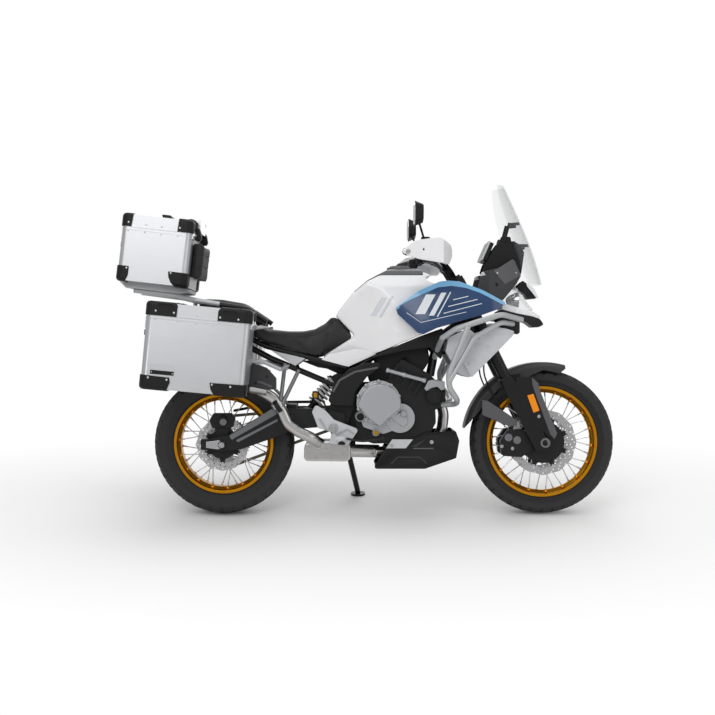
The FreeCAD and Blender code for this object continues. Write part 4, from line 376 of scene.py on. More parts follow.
def grained(name, low, high, grain, roughness, bump, metallic=0.0, ior=1.46, detail=4.0, spread=0.08):
    """A finish whose colour and gloss wander a little between two shades, over a fine grain."""
    material, shader, place = new_material(name)
    noise = add_node(material, "ShaderNodeTexNoise", {"Scale": per_millimetre(grain), "Detail": detail},
                     {"Vector": (place, "Object")})
    shade = add_node(material, "ShaderNodeMix",
                     {"data_type": "RGBA", FIRST_COLOUR: linear(low), SECOND_COLOUR: linear(high)},
                     {"Factor": (noise, "Fac")})
    link(material, shade, MIXED_COLOUR, shader, "Base Color")
    gloss = add_node(material, "ShaderNodeMapRange",
                     {"To Min": roughness - spread, "To Max": roughness + spread},
                     {"Value": (noise, "Fac")})
    link(material, gloss, "Result", shader, "Roughness")
    relief = add_node(material, "ShaderNodeBump", {"Strength": bump, "Distance": grain * MM * 0.2},
                      {"Height": (noise, "Fac")})
    link(material, relief, "Normal", shader, "Normal")
    shader.inputs["Metallic"].default_value = metallic
    if metallic < 0.5:
        shader.inputs["IOR"].default_value = ior
    return material, shader


# length of the blotches in millimetres, and the lines' share in the shade
BLOTCH = 90
LINES_SHARE = 0.7


def brushed(name, low, high, roughness, stretch, line):
    """Metal with fine lines drawn along one direction, over broad faint blotches."""
    material, shader, place = new_material(name)
    shape = add_node(material, "ShaderNodeMapping", {"Scale": stretch}, {"Vector": (place, "Object")})
    lines = add_node(material, "ShaderNodeTexNoise", {"Scale": per_millimetre(line), "Detail": 3.0},
                     {"Vector": (shape, "Vector")})
    blotches = add_node(material, "ShaderNodeTexNoise", {"Scale": per_millimetre(BLOTCH), "Detail": 2.0},
                        {"Vector": (place, "Object")})
    part = add_node(material, "ShaderNodeMath", {"operation": "MULTIPLY", 1: 1 - LINES_SHARE},
                    {0: (blotches, "Fac")})
    both = add_node(material, "ShaderNodeMath", {"operation": "MULTIPLY_ADD", 1: LINES_SHARE},
                    {0: (lines, "Fac"), 2: (part, 0)})
    shade = add_node(material, "ShaderNodeMix",
                     {"data_type": "RGBA", FIRST_COLOUR: linear(low), SECOND_COLOUR: linear(high)},
                     {"Factor": (both, 0)})
    link(material, shade, MIXED_COLOUR, shader, "Base Color")
    gloss = add_node(material, "ShaderNodeMapRange",
                     {"To Min": roughness - 0.06, "To Max": roughness + 0.08}, {"Value": (both, 0)})
    link(material, gloss, "Result", shader, "Roughness")
    relief = add_node(material, "ShaderNodeBump", {"Strength": 0.12, "Distance": 0.0003},
                      {"Height": (lines, "Fac")})
    link(material, relief, "Normal", shader, "Normal")
    shader.inputs["Metallic"].default_value = 1.0
    return material, shader


def painted(name, low, high):
    """Gloss paint on ABS panels: a hard clear coat over an even colour, faint orange peel."""
    material, shader = grained(name, low, high, grain=60, roughness=0.26, bump=0.02, ior=1.5,
                               detail=1.0, spread=0.03)
    shader.inputs["Coat Weight"].default_value = 0.6
    shader.inputs["Coat Roughness"].default_value = 0.05
    return material


def moulded(name, low, high, grain, roughness):
    """Moulded polypropylene: matt, with a spark-eroded grain that breaks the highlights."""
    material, shader = grained(name, low, high, grain, roughness, 0.18)
    if "black" in name:
        shader.inputs["Specular IOR Level"].default_value = 0.3
    return material


def clear(name, code, least, most):
    """Polycarbonate screens and lenses: seen through, with a grey sheen where they turn away."""
    material, shader, place = new_material(name)
    noise = add_node(material, "ShaderNodeTexNoise", {"Scale": per_millimetre(120), "Detail": 2.0},
                     {"Vector": (place, "Object")})
    gloss = add_node(material, "ShaderNodeMapRange", {"To Min": 0.03, "To Max": 0.09},
                     {"Value": (noise, "Fac")})
    link(material, gloss, "Result", shader, "Roughness")
    turned_away = add_node(material, "ShaderNodeLayerWeight", {"Blend": 0.35}, {})
    body = add_node(material, "ShaderNodeMapRange", {"To Min": least, "To Max": most},
                    {"Value": (turned_away, "Facing")})
    link(material, body, "Result", shader, "Alpha")
    shader.inputs["Base Color"].default_value = linear(code)
    return material


def pebbled(name, low, high):
    """Seat vinyl: pebbled grain about 3 mm across, dull sheen on the crowns."""
    material, shader, place = new_material(name)
    cells = add_node(material, "ShaderNodeTexVoronoi", {"Scale": per_millimetre(3.0)},
                     {"Vector": (place, "Object")})
    wide = add_node(material, "ShaderNodeTexNoise", {"Scale": per_millimetre(70), "Detail": 3.0},
                    {"Vector": (place, "Object")})
    shade = add_node(material, "ShaderNodeMix",
                     {"data_type": "RGBA", FIRST_COLOUR: linear(low), SECOND_COLOUR: linear(high)},
                     {"Factor": (wide, "Fac")})
    link(material, shade, MIXED_COLOUR, shader, "Base Color")
    relief = add_node(material, "ShaderNodeBump", {"Strength": 0.3, "Distance": 0.0006},
                      {"Height": (cells, "Distance")})
    link(material, relief, "Normal", shader, "Normal")
    gloss = add_node(material, "ShaderNodeMapRange", {"To Min": 0.5, "To Max": 0.68},
                     {"Value": (wide, "Fac")})
    link(material, gloss, "Result", shader, "Roughness")
    return material


# name, darker and lighter shade
PAINTS = (("paint_white", "E4E4E6", "ECECED"), ("paint_navy", "06335F", "0A3B6A"),
          ("paint_sky", "6DA9D2", "78B4DC"), ("paint_graphic", "DDE3E9", "E7ECF0"),
          ("paint_ghost", "CFD3D8", "D7DADE"), ("lamp_white", "E6EAEE", "F0F3F5"))
# name, shades, grain in millimetres, roughness
PLASTICS = (("plastic_black", "0F0F10", "1A1A1B", 2.2, 0.5),
            ("plastic_grey", "4E4E51", "5A5A5D", 2.2, 0.45),
            ("plastic_dark_grey", "28282A", "343436", 2.2, 0.46),
            ("plastic_silver", "BABCBF", "C7C9CC", 30, 0.36),
            ("rubber_black", "0E0E0F", "181819", 3.0, 0.66),
            ("tyre_rubber", "202021", "2E2E2F", 5.0, 0.72))
# name, shades, grain, roughness, bump, metallic: die-cast aluminium under silver or black paint is
# slightly orange-peeled and dull in the pits, and powder coat is an even skin with a soft sheen
COATED_METALS = (("cast_silver", "A0A2A5", "B8BABD", 2.5, 0.4, 0.22, 0.6),
                 ("cast_black", "101011", "1B1B1D", 2.5, 0.46, 0.22, 0.3),
                 ("cast_grey", "6E7073", "838588", 2.5, 0.45, 0.22, 0.6),
                 ("powder_black", "0E0E0F", "171718", 4.0, 0.36, 0.08, 0.35),
                 ("powder_silver", "A7A9AB", "B6B8BA", 4.0, 0.36, 0.08, 0.35))
# name, shades, roughness, stretch of the lines, their width: rolled sheet has lines along the rolling
# direction, a disc is ringed by its pads, and pipes, bolts and rims are drawn or turned
BARE_METALS = (("sheet_aluminium", "C4C5C8", "D6D7D9", 0.4, (0.04, 1.0, 1.0), 1.6),
               ("disc_steel", "B4B4B6", "D0D0D2", 0.3, (1.0, 0.3, 1.0), 2.0),
               ("exhaust_steel", "B2B1B0", "CFCDCB", 0.28, (1.0, 1.0, 1.0), 18.0),
               ("bright_steel", "B9B9BB", "D3D3D5", 0.24, (1.0, 1.0, 1.0), 6.0),
               ("chain_steel", "5E5A52", "87826F", 0.38, (1.0, 1.0, 1.0), 8.0),
               ("rim_gold", "C5850F", "DC9A26", 0.3, (1.0, 0.2, 1.0), 3.0),
               ("bowl_chrome", "C9CACC", "DADBDD", 0.12, (1.0, 1.0, 0.1), 3.0))
# name, shades, roughness, metallic
LENSES = (("lens_amber", "E88200", "FF9A0A", 0.16, 0.0), ("lens_red", "9E0F12", "C2191C", 0.18, 0.0),
          ("mirror_glass", "C6CACF", "D5D9DD", 0.04, 1.0), ("glass_black", "0B0C0E", "141619", 0.08, 0.0),
          ("seal_gold", "B98A24", "D2A43A", 0.3, 1.0))
# name, shade, share of it that covers seen square on and seen edge on
SCREENS = (("screen_clear", "8B9195", 0.02, 0.3), ("lens_clear", "E4E8EB", 0.16, 0.75))

MATERIALS = {}


def make_materials():
    for maker, rows in ((painted, PAINTS), (moulded, PLASTICS), (clear, SCREENS)):
        for row in rows:
            MATERIALS[row[0]] = maker(*row)
    for row in COATED_METALS:
        MATERIALS[row[0]] = grained(*row)[0]
    for row in BARE_METALS:
        MATERIALS[row[0]] = brushed(*row)[0]
    for name, low, high, roughness, metallic in LENSES:
        MATERIALS[name] = grained(name, low, high, 12, roughness, bump=0.03, metallic=metallic, ior=1.5,
                                  spread=0.02)[0]
    MATERIALS["seat_vinyl"] = pebbled("seat_vinyl", "121213", "1E1E1F")


make_materials()

# what each record slot is finished with where its CAD node stays
SLOT_FINISH = {
    "frame_steel": "powder_black", "engine_silver": "cast_silver", "engine_black": "cast_black",
    "exhaust_steel": "exhaust_steel", "dark_plastic": "plastic_black", "grey_plastic": "plastic_grey",
    "white_paint": "paint_white", "navy_paint": "paint_navy", "silver_plastic": "plastic_silver",
    "seat_cover": "seat_vinyl", "clear_screen": "screen_clear", "lamp": "lens_clear",
    "display_face": "glass_black", "aluminium_sheet": "sheet_aluminium", "crash_steel": "powder_silver",
    "disc_steel": "disc_steel", "gold_rim": "rim_gold", "tyre": "tyre_rubber", "hub_black": "cast_black",
    "chain_steel": "chain_steel",
}

RECORD = frame["record"]
NODE_BODY = {node: body for body, nodes in RECORD["behaviour"]["bodies"].items() for node in nodes}
NODE_SLOT = {row["node"]: row["material_slot"] for row in RECORD["subparts"]}


def stand_for(obj, node, finish=None, angle=35):
    """A dressed piece in place of a CAD node, on the same body, with its slot's finish unless another is
    given.
    """
    slot_name = NODE_SLOT[node]
    material = MATERIALS[finish or SLOT_FINISH[slot_name]]
    return finish_piece(obj, NODE_BODY[node], material, (node,), angle)


def dressed_moulding(node, voxel, passes, finish=None):
    """Stands for a moulded or cast node, with its edges run round."""
    return stand_for(moulded_copy(node, voxel, passes), node, finish)


def dressed_sheet(node, edge, segments=2, finish=None, angle=30):
    """Stands for a node of sheet, tubes or blocks, with small bevels on its edges."""
    return stand_for(sharp_copy(node, edge, segments), node, finish, angle)


def put_on(obj, node, finish, angle=35):
    """An added piece that rides with a CAD node."""
    return finish_piece(obj, NODE_BODY[node], MATERIALS[finish], (), angle)


def plate_on(name, outline, reach, edge, steps, node, finish):
    """A bevelled plate between two distances across the bike, riding with a node."""
    return put_on(bevelled(plate(name, outline, *reach), edge, steps), node, finish)


def round_on(name, stations, foot, way, steps, node, finish, angle=35):
    """A round fitting with (height, radius) stations from its foot, riding with a node."""
    foot = Vector(foot)
    return put_on(spindle(name, stations, foot, foot + Vector(way) * 20, steps), node, finish, angle)


# ---------------------------------------------------------------- bolts and other small hardware

def cap_bolt(name, place, outwards, radius=6, height=5):
    """A socket cap bolt: a round head with a bevelled rim and a hex socket."""
    place = Vector(place)
    outwards = Vector(outwards).normalized()
    stations = ((0, radius * 1.25), (0.8, radius * 1.25), (1.0, radius), (height - 0.8, radius),
                (height, radius - 0.9), (height, radius * 0.5), (height - radius * 0.45, radius * 0.45))
    return spindle(name, stations, place - outwards * 0.5, place + outwards * 20, 12)


def bolt_row(name, places, outwards, radius=6, height=5):
    return joined(name, [cap_bolt("bolt", place, outwards, radius, height) for place in places])


# ---------------------------------------------------------------- wheels

# radius and width: of the tyre; flange: radius of the rim's flanges; rim_width: over its flanges;
# hub: radius of its barrel; reach: from its middle to a spoke flange; blocks: tread blocks in a row
Wheel = namedtuple("Wheel", "axle radius width flange rim_width hub reach blocks")
WHEELS = {
    "front": Wheel(FRONT_AXLE, FRONT_TYRE_RADIUS, 110, 254, 68, 34, 34, 40),
    "rear": Wheel(REAR_AXLE, REAR_TYRE_RADIUS, 150, 228, 116, 44, 40, 36),
}
SPOKE_PAIRS = 18
SPOKE_RADIUS = 2.1
TREAD_DEPTH = 6
# shares of the half width at a row's edges, and the row's lead round the wheel in steps
TREAD_ROWS = ((-0.17, 0.17, 0.0), (0.24, 0.56, 0.5), (0.63, 0.985, 0.15), (-0.56, -0.24, 0.5),
              (-0.985, -0.63, 0.15))
# foot and top of a block: how far its flanks draw in, its height over the crown, its share of the length
BLOCK_LEVELS = ((0.0, -TREAD_DEPTH - 1.5, 1.0), (0.02, -0.3, 0.93))
BLOCK_HALF = 0.36
BLOCK_SLANT = 0.24
BLOCK_FACES = ((0, 1, 2, 3), (4, 7, 6, 5), (0, 4, 5, 1), (1, 5, 6, 2), (2, 6, 7, 3), (3, 7, 4, 0))


def from_axle(distance, angle, y=0.0):
    """The way out from an axle at an angle round it, and across the bike."""
    return Vector((math.cos(angle) * distance, y, math.sin(angle) * distance))


def crown(wheel, y):
    """Distance of the tread's surface from the axle at a distance across the tyre."""
    shoulder = wheel.radius - 0.34 * (wheel.radius - wheel.flange)
    return shoulder + (wheel.radius - shoulder) * math.sqrt(max(0.0, 1 - (2 * y / wheel.width) ** 2))


def make_tread(end):
    """Five rows of slanted blocks on the tyre's crown."""
    wheel = WHEELS[end]
    step = 2 * math.pi / wheel.blocks
    points = []
    faces = []
    for number in range(wheel.blocks):
        for low, high, lead in TREAD_ROWS:
            start = len(points)
            for inset, rise, squeeze in BLOCK_LEVELS:
                for share, other in ((low, high), (high, low)):
                    rear_first = 1 if share < other else -1
                    share += inset * rear_first
                    y = wheel.width / 2 * share
                    distance = crown(wheel, y) + rise
                    if abs(share) > 0.9:
                        distance = crown(wheel, y * 0.97) + rise - 1
                    for edge in (-BLOCK_HALF * rear_first, BLOCK_HALF * rear_first):
                        angle = step * (number + lead + BLOCK_SLANT * abs(share) + edge * squeeze)
                        points.append((wheel.axle.x + distance * math.cos(angle), y,
                                       wheel.axle.z + distance * math.sin(angle)))
            faces += [tuple(start + corner for corner in face) for face in BLOCK_FACES]
    return face_outwards(from_points(end + "_tread", points, faces))


def make_tyre(end):
    wheel = WHEELS[end]
    flange = wheel.flange
    half = wheel.width / 2
    bead = wheel.rim_width / 2 - 6
    depth = wheel.radius - flange
    # distance from the axle, distance across: bead, sidewall with its two raised rings, shoulder
    side = [(flange - 9, bead - 4), (flange - 9, bead), (flange + 2, bead + 1), (flange + 5, bead + 5),
            (flange + 8, bead + 5.5), (flange + 9, bead + 7.5), (flange + 11, bead + 7.5),
            (flange + 0.34 * depth, half - 5), (flange + 0.37 * depth, half - 3.2),
            (flange + 0.4 * depth, half - 3.6), (flange + 0.58 * depth, half - 0.6),
            (flange + 0.66 * depth, half - 0.3)]
    groove = [(crown(wheel, half * share) - TREAD_DEPTH, half * share)
              for share in (0.97, 0.88, 0.75, 0.55, 0.3, 0.1)]
    profile = side + groove
    profile += [(distance, -y) for distance, y in reversed(profile)]
    profile += [(flange - 12, -bead + 10), (flange - 12, bead - 10)]
    carcass = lathe(end + "_carcass", profile, wheel.axle, 120)
    stand_for(joined(end + "_tyre_dressed", [carcass, make_tread(end)]), end + "_tyre", angle=40)


def spoke_turns():
    """Number, side of the bike and angle of each spoke round the rim."""
    for index in range(2 * SPOKE_PAIRS):
        yield index, -1 if index % 2 else 1, 2 * math.pi * (index + 0.5) / (2 * SPOKE_PAIRS)


def make_rim(end):
    wheel = WHEELS[end]
    flange = wheel.flange
    half = wheel.rim_width / 2
    # outside from the flange lip down to the well, then back along the visible inside
    outside = [(flange - 2, half), (flange, half - 1.5), (flange, half - 3.5), (flange - 9, half - 5),
               (flange - 11, half - 8), (flange - 12, half - 18), (flange - 24, half - 25),
               (flange - 26, 3)]
    inside = [(flange - 31, 3), (flange - 30, half - 26), (flange - 17, half - 16),
              (flange - 16, half - 5), (flange - 14, half)]
    ring = outside + [(distance, -y) for distance, y in reversed(outside)]
    ring += [(distance, -y) for distance, y in reversed(inside)] + inside
    rim = bevelled(lathe(end + "_rim_ring", ring, wheel.axle, 144), 1.2, 2, 40)
    # a raised dimple at every nipple
    dimple = spindle("dimple", ((-7, 9.5), (-1, 9.0), (2.5, 6.5), (4, 4.2)), (0, 0, 0), (0, 0, 10), 12)
    dimples = []
    for number, side, angle in spoke_turns():
        inwards = Vector((-math.cos(angle), side * -0.18, -math.sin(angle))).normalized()
        place = wheel.axle + from_axle(flange - 28, angle, side * (half - 22))
        turn = inwards.to_track_quat("Z", "Y").to_matrix().to_4x4()
        dimples.append(copied(dimple, "dimple", Matrix.Translation(place) @ turn))
    removed(dimple)
    stand_for(joined(end + "_rim_dressed", [rim] + dimples), end + "_rim")


def make_hub(end):
    wheel = WHEELS[end]
    hub, reach = wheel.hub, wheel.reach
    tall = hub + 14
    # half profile of the hub: barrel, spoke flange with its rounded rim, bearing boss
    half_profile = [(hub - 6, 0), (hub - 6, reach - 10), (hub + 2, reach - 5), (tall, reach - 4),
                    (tall + 1.5, reach), (tall, reach + 4), (hub, reach + 6), (hub - 3, reach + 16),
                    (hub - 8, reach + 24), (20, reach + 25), (13, reach + 25)]
    profile = [(distance, -y) for distance, y in reversed(half_profile[1:])] + half_profile
    barrel = bevelled(lathe(end + "_hub_barrel", profile, wheel.axle, 64), 0.8, 2, 40)
    stand_for(joined(end + "_hub_dressed", [barrel]), end + "_hub")
    spokes = []
    nipples = []
    # spoke heads alternate inside and outside each flange and cross three others
    for index, side, rim_angle in spoke_turns():
        lean = 1 if (index // 2) % 2 else -1
        head = wheel.axle + from_axle(hub + 8, rim_angle + lean * 1.02, side * (reach + lean * 3))
        foot = wheel.axle + from_axle(wheel.flange - 31, rim_angle, side * (wheel.rim_width / 2 - 23))
        spokes.append(rod("spoke", SPOKE_RADIUS, head, foot, 0.5, 8))
        along = (foot - head).normalized()
        nipples.append(spindle("nipple", ((0, 2.6), (1, 3.4), (14, 3.4), (16, 4.4), (18, 4.4)),
                               foot - along * 17, foot, 8))
        nipples.append(spindle("spoke_head", ((0, 2.0), (1, 3.6), (3, 3.6), (4, 2.4)),
                               head - Vector((0, lean * 2, 0)), head + Vector((0, lean * 20, 0)), 8))
    put_on(joined(end + "_spokes", spokes + nipples), end + "_hub", "bright_steel")


# y: across the bike; band: depth of the braking band; carrier: inner radius of the carrier;
# holes: share of the band, phase and count of each row of drillings
Disc = namedtuple("Disc", "axle radius band y carrier arms holes")
DISC_HALF = 2.4
DISC_WAVES = 12
DISC_STEPS = 144
CARRIER_HALF = 3
# an arm's outline from the ring out to its button, as (out from the band's inner edge, across)
ARM_OUTLINE = ((-20, -15), (2, -9), (9, -5), (9, 5), (2, 9), (-20, 15))


def make_disc(name, disc):
    """A drilled, wave-edged braking band on floating buttons round a cut-out carrier."""
    axle, y = disc.axle, disc.y
    points = []
    for face_y in (y - DISC_HALF, y + DISC_HALF):
        for distance, wave in ((disc.radius - 2.2, 2.2), (disc.radius - disc.band, 1.5)):
            for step in range(DISC_STEPS):
                angle = 2 * math.pi * step / DISC_STEPS
                radius = distance + wave * math.cos(DISC_WAVES * angle)
                points.append((axle.x + radius * math.cos(angle), face_y,
                               axle.z + radius * math.sin(angle)))
    faces = []
    # rims of the near face and the far face: outer, inner
    outer, inner, far_outer, far_inner = (DISC_STEPS * rim for rim in range(4))
    for step in range(DISC_STEPS):
        ahead = (step + 1) % DISC_STEPS
        faces.append((outer + step, outer + ahead, inner + ahead, inner + step))
        faces.append((far_outer + step, far_inner + step, far_inner + ahead, far_outer + ahead))
        faces.append((outer + step, far_outer + step, far_outer + ahead, outer + ahead))
        faces.append((inner + step, inner + ahead, far_inner + ahead, far_inner + step))
    band = face_outwards(from_points(name, points, faces))
    drills = []
    for share, phase, number in disc.holes:
        distance = disc.radius - disc.band * share
        for hole in range(number):
            place = axle + from_axle(distance, 2 * math.pi * (hole + phase) / number, y - 8)
            drills.append(rod("drill", 3.4, place, place + Vector((0, 16, 0)), 0.01, 10))
    drill = joined("drills", drills)
    modified(band, "BOOLEAN", object=drill, operation="DIFFERENCE", solver="EXACT")
    removed(drill)
    # carrier: ring round the hub, arms out to the floating buttons
    edge = disc.radius - disc.band - 6
    low, high = y - CARRIER_HALF, y + CARRIER_HALF
    parts = [lathe(name + "_ring", ((disc.carrier, low), (edge - 14, low), (edge - 14, high),
                                    (disc.carrier, high)), axle, 64)]
    buttons = []
    for arm in range(disc.arms):
        angle = 2 * math.pi * (arm + 0.5) / disc.arms
        out = from_axle(1, angle)
        sideways = Vector((-math.sin(angle), 0, math.cos(angle)))
        corners = [axle + out * (edge + ahead) + sideways * aside for ahead, aside in ARM_OUTLINE]
        parts.append(plate("arm", [(corner.x, corner.z) for corner in corners], low, high))
        button = axle + out * (edge + 6) + Vector((0, y - 5, 0))
        buttons.append(spindle("button", ((0, 4), (1, 6), (9, 6), (10, 4)), button,
                               button + Vector((0, 10, 0)), 12))
    carrier = bevelled(joined(name + "_carrier", parts), 0.8, 2, 40)
    return band, carrier, joined(name + "_buttons", buttons)


def make_discs():
    front_holes = ((0.25, 0.0, 24), (0.5, 0.33, 24), (0.75, 0.66, 24))
    rear_holes = ((0.27, 0.0, 20), (0.55, 0.33, 20), (0.78, 0.66, 20))
    discs = [("front_disc_" + side_name, "front_discs",
              Disc(FRONT_AXLE, 150, 34, side * 67, 24, 8, front_holes)) for side, side_name in SIDES]
    bands = []
    for name, node, disc in discs:
        band, carrier, buttons = make_disc(name, disc)
        bands.append(band)
        put_on(carrier, node, "cast_black")
        put_on(buttons, node, "bright_steel")
    stand_for(joined("front_discs_dressed", bands), "front_discs")
    band, carrier, buttons = make_disc("rear_disc", Disc(REAR_AXLE, 120, 33, -92, 22, 6, rear_holes))
    stand_for(band, "rear_disc")
    put_on(carrier, "rear_disc", "cast_black")
    put_on(buttons, "rear_disc", "bright_steel")


def make_wheels():
    for end in WHEELS:
        make_tyre(end)
        make_rim(end)
        make_hub(end)
    make_discs()


make_wheels()


# ---------------------------------------------------------------- shapes that follow a dressed piece

def combined(obj, region, operation):
    """Keeps or takes away what lies in a region, with the solver that manages it."""
    before = obj.data.copy()
    for solver in ("MANIFOLD", "EXACT"):
        modified(obj, "BOOLEAN", object=region, operation=operation, solver=solver)
        if len(obj.data.polygons) not in (0, len(before.polygons)):
            break
        obj.data = before.copy()
    return obj


def kept_within(obj, region):
    """Keeps what lies inside a region, which is used up."""
    combined(obj, region, "INTERSECT")
    removed(region)
    return obj


def cut_out(obj, *regions):
    for region in regions:
        combined(obj, region, "DIFFERENCE")
        removed(region)
    return obj


def inlay(name, dressed, outlines, low_y, high_y, rise=0.7):
    """A skin just proud of a dressed piece inside (x, z) outlines: a stripe or a painted field."""
    skin = bpy.data.objects.new(name, dressed.data.copy())
    bpy.context.collection.objects.link(skin)
    skin.data.materials.clear()
    skin.data.transform(UPRIGHT)
    modified(skin, "DISPLACE", strength=rise, mid_level=0)
    regions = [plate("region", outline, low_y, high_y) for outline in outlines]
    return kept_within(skin, joined("regions", regions))


def both_sides(low_y, high_y):
    """The two ranges across the bike that mirror each other."""
    return ((-high_y, -low_y), (low_y, high_y))


def on_skin(dressed, x, z, side):
    """Where a line from far out on one side meets a dressed piece, and the way its surface faces."""
    start = LEANED @ Vector((x, side * 900, z))
    inwards = (LEANED.to_3x3() @ Vector((0, -side, 0))).normalized()
    found, place, normal, face = dressed.ray_cast(start, inwards)
    if not found:
        return None, None
    return UPRIGHT @ place, (UPRIGHT.to_3x3() @ normal).normalized()


def skin_bolts(name, dressed, places, sides=(-1, 1), radius=6, height=4.5):
    """Cap bolts standing square on a dressed piece at (x, z) places, where it has a skin."""
    heads = []
    for side in sides:
        for x, z in places:
            place, normal = on_skin(dressed, x, z, side)
            if place:
                heads.append(cap_bolt("bolt", place, normal, radius, height))
    return joined(name, heads)


# ---------------------------------------------------------------- luggage cases

# corner: the floor's rear corner; seam: height of the lid's seam; outer: sides that show
Case = namedtuple("Case", "corner pitch length low_y high_y height seam lid outer")
CASES = {
    "top_case": Case(Vector((-459, 0, 1060)), 6.5, 309, -212, 212, 294, 235, "top_case_lid", (-1, 1)),
    "side_case_right": Case(Vector((-309, 0, 587)), 5.3, 441, -475, -242, 364, 305, "side_case_lid_right",
                            (-1,)),
    "side_case_left": Case(Vector((-309, 0, 587)), 5.3, 441, 242, 475, 364, 305, "side_case_lid_left",
                           (1,)),
}
CASE_CORNER = 26
GUARD_PROUD = 5.5
# corner guards of the base and of the lid, as (along, up) outlines on the case's side
TOP_BASE_GUARDS = (((-12, -8), (-12, 64), (50, 64), (50, 24), (38, -8)),
                   ((322, -8), (322, 60), (226, 60), (229, 36), (242, 12), (262, -8)))
TOP_LID_GUARDS = (((-12, 239), (-12, 306), (47, 306), (42, 239)),
                  ((322, 239), (322, 306), (249, 306), (246, 239)))
SIDE_BASE_GUARDS = (((-12, -8), (-12, 56), (122, 53), (127, 34), (113, -8)),
                    ((455, -8), (455, 50), (294, 47), (300, 20), (318, -8)))
SIDE_LID_GUARDS = (((-12, 309), (-12, 376), (120, 376), (131, 356), (129, 309)),
                   ((455, 309), (455, 376), (318, 376), (303, 350), (303, 309)))
# rivets through the sheet and brighter screws through the guards, of base and lid, as (along, up)
TOP_RIVETS = (((30, 221), (104, 219), (176, 218), (251, 218)), ((106, 254), (176, 252)))
TOP_SCREWS = (((41, 55), (238, 53)), ((28, 257), (256, 256)))
SIDE_RIVETS = (((41, 293), (138, 291), (214, 289), (286, 287), (387, 286)), ((215, 322),))
SIDE_SCREWS = (((34, 46), (113, 43), (304, 40), (382, 38)),
               ((41, 328), (118, 326), (313, 324), (390, 322)))
# strap slots in a side lid's guards: from and to along the case, and up
STRAP_SLOTS = (((50, 112), (347, 360)), ((322, 382), (342, 355)))


def case_place(case):
    pitch = math.radians(CASES[case].pitch)
    return Matrix.Translation(CASES[case].corner) @ Matrix.Rotation(pitch, 4, "Y")


def chosen_edges_bevelled(obj, chosen, width, segments):
    """Bevels the edges whose end points pass a test."""
    pick(obj)
    bpy.ops.object.mode_set(mode="EDIT")
    bpy.ops.mesh.select_mode(type="EDGE")
    bpy.ops.mesh.select_all(action="DESELECT")
    bpy.ops.object.mode_set(mode="OBJECT")
    for edge in obj.data.edges:
        edge.select = chosen(*(obj.data.vertices[index].co for index in edge.vertices))
    bpy.ops.object.mode_set(mode="EDIT")
    bpy.ops.mesh.bevel(offset=width, segments=segments, affect="EDGES")
    bpy.ops.object.mode_set(mode="OBJECT")
    return obj


def case_form(case, grow, low, high):
    """The round-cornered form of a case between two heights, grown sideways."""
    length, low_y, high_y = CASES[case].length, CASES[case].low_y, CASES[case].high_y
    form = block("form", (-grow, low_y - grow, low), (length + grow, high_y + grow, high))
    return chosen_edges_bevelled(form, lambda a, b: abs(a.z - b.z) > 1, CASE_CORNER + grow, 8)


def case_shell(case, proud, low, high, rounding=2):
    """A skin round a case, standing proud of its sheet."""
    height = CASES[case].height
    shell = case_form(case, proud, low, high)
    # its floor and roof edges, where it has them
    chosen_edges_bevelled(shell, lambda a, b: abs(a.z - b.z) < 0.1 and not 0 <= a.z <= height,
                          rounding, 5)
    return cut_out(shell, case_form(case, -1, max(low - 10, 1), min(high + 10, height - 1)))


def case_guards(case, outlines, name):
    """Moulded guards round the corners, on both sides of the case."""
    low_y, high_y, height = CASES[case].low_y, CASES[case].high_y, CASES[case].height
    # an inner side, which hangs on its carrier, has no room for a guard
    far_low = low_y - (7 if low_y < 0 else 0.2)
    far_high = high_y + (7 if high_y > 0 else 0.2)
    regions = [plate("region", outline, near, far) for outline in outlines
               for near, far in ((far_low, low_y + 74), (high_y - 74, far_high))]
    shell = case_shell(case, GUARD_PROUD, -GUARD_PROUD, height + GUARD_PROUD, 17)
    guards = kept_within(shell, joined("regions", regions))
    guards.name = name
    return guards


def side_face(case, side):
    """Distance across the bike of a case's face on one side."""
    return CASES[case].high_y if side > 0 else CASES[case].low_y


def case_piece(obj, case, node, finish, angle=35):
    obj.data.transform(case_place(case))
    return put_on(obj, node, finish, angle)


def rivet_row(name, places, outwards, radius=3.8):
    """Low round rivet heads."""
    stations = ((-0.5, radius), (0.5, radius), (1.6, radius * 0.75), (2.2, radius * 0.3))
    rivets = [spindle("rivet", stations, place, Vector(place) + Vector(outwards) * 10, 10)
              for place in places]
    return joined(name, rivets)


def toggle_latch(name, case, y):
    """A draw latch on the rear face: keeper on the lid, body and lever on the base."""
    seam = CASES[case].seam
    body = joined(name + "_body", [block("body", (-5, y - 19, seam - 74), (0.5, y + 19, seam - 6)),
                                   block("lever", (-13, y - 13, seam - 62), (-4, y + 13, seam - 14)),
                                   block("tongue", (-19, y - 10, seam - 82), (-9, y + 10, seam - 58))])
    case_piece(bevelled(body, 2, 3), case, case, "plastic_black")
    hook = block(name + "_bail", (-7.5, y - 8, seam - 26), (-5, y + 8, seam - 3))
    case_piece(bevelled(hook, 0.8), case, case, "bright_steel")
    keeper = joined(name + "_keeper", [block("keeper", (-4, y - 14, seam + 6), (0.5, y + 14, seam + 30)),
                                       block("lip", (-9, y - 9, seam + 7), (-3, y + 9, seam + 14))])
    case_piece(bevelled(keeper, 1.2), case, CASES[case].lid, "bright_steel")


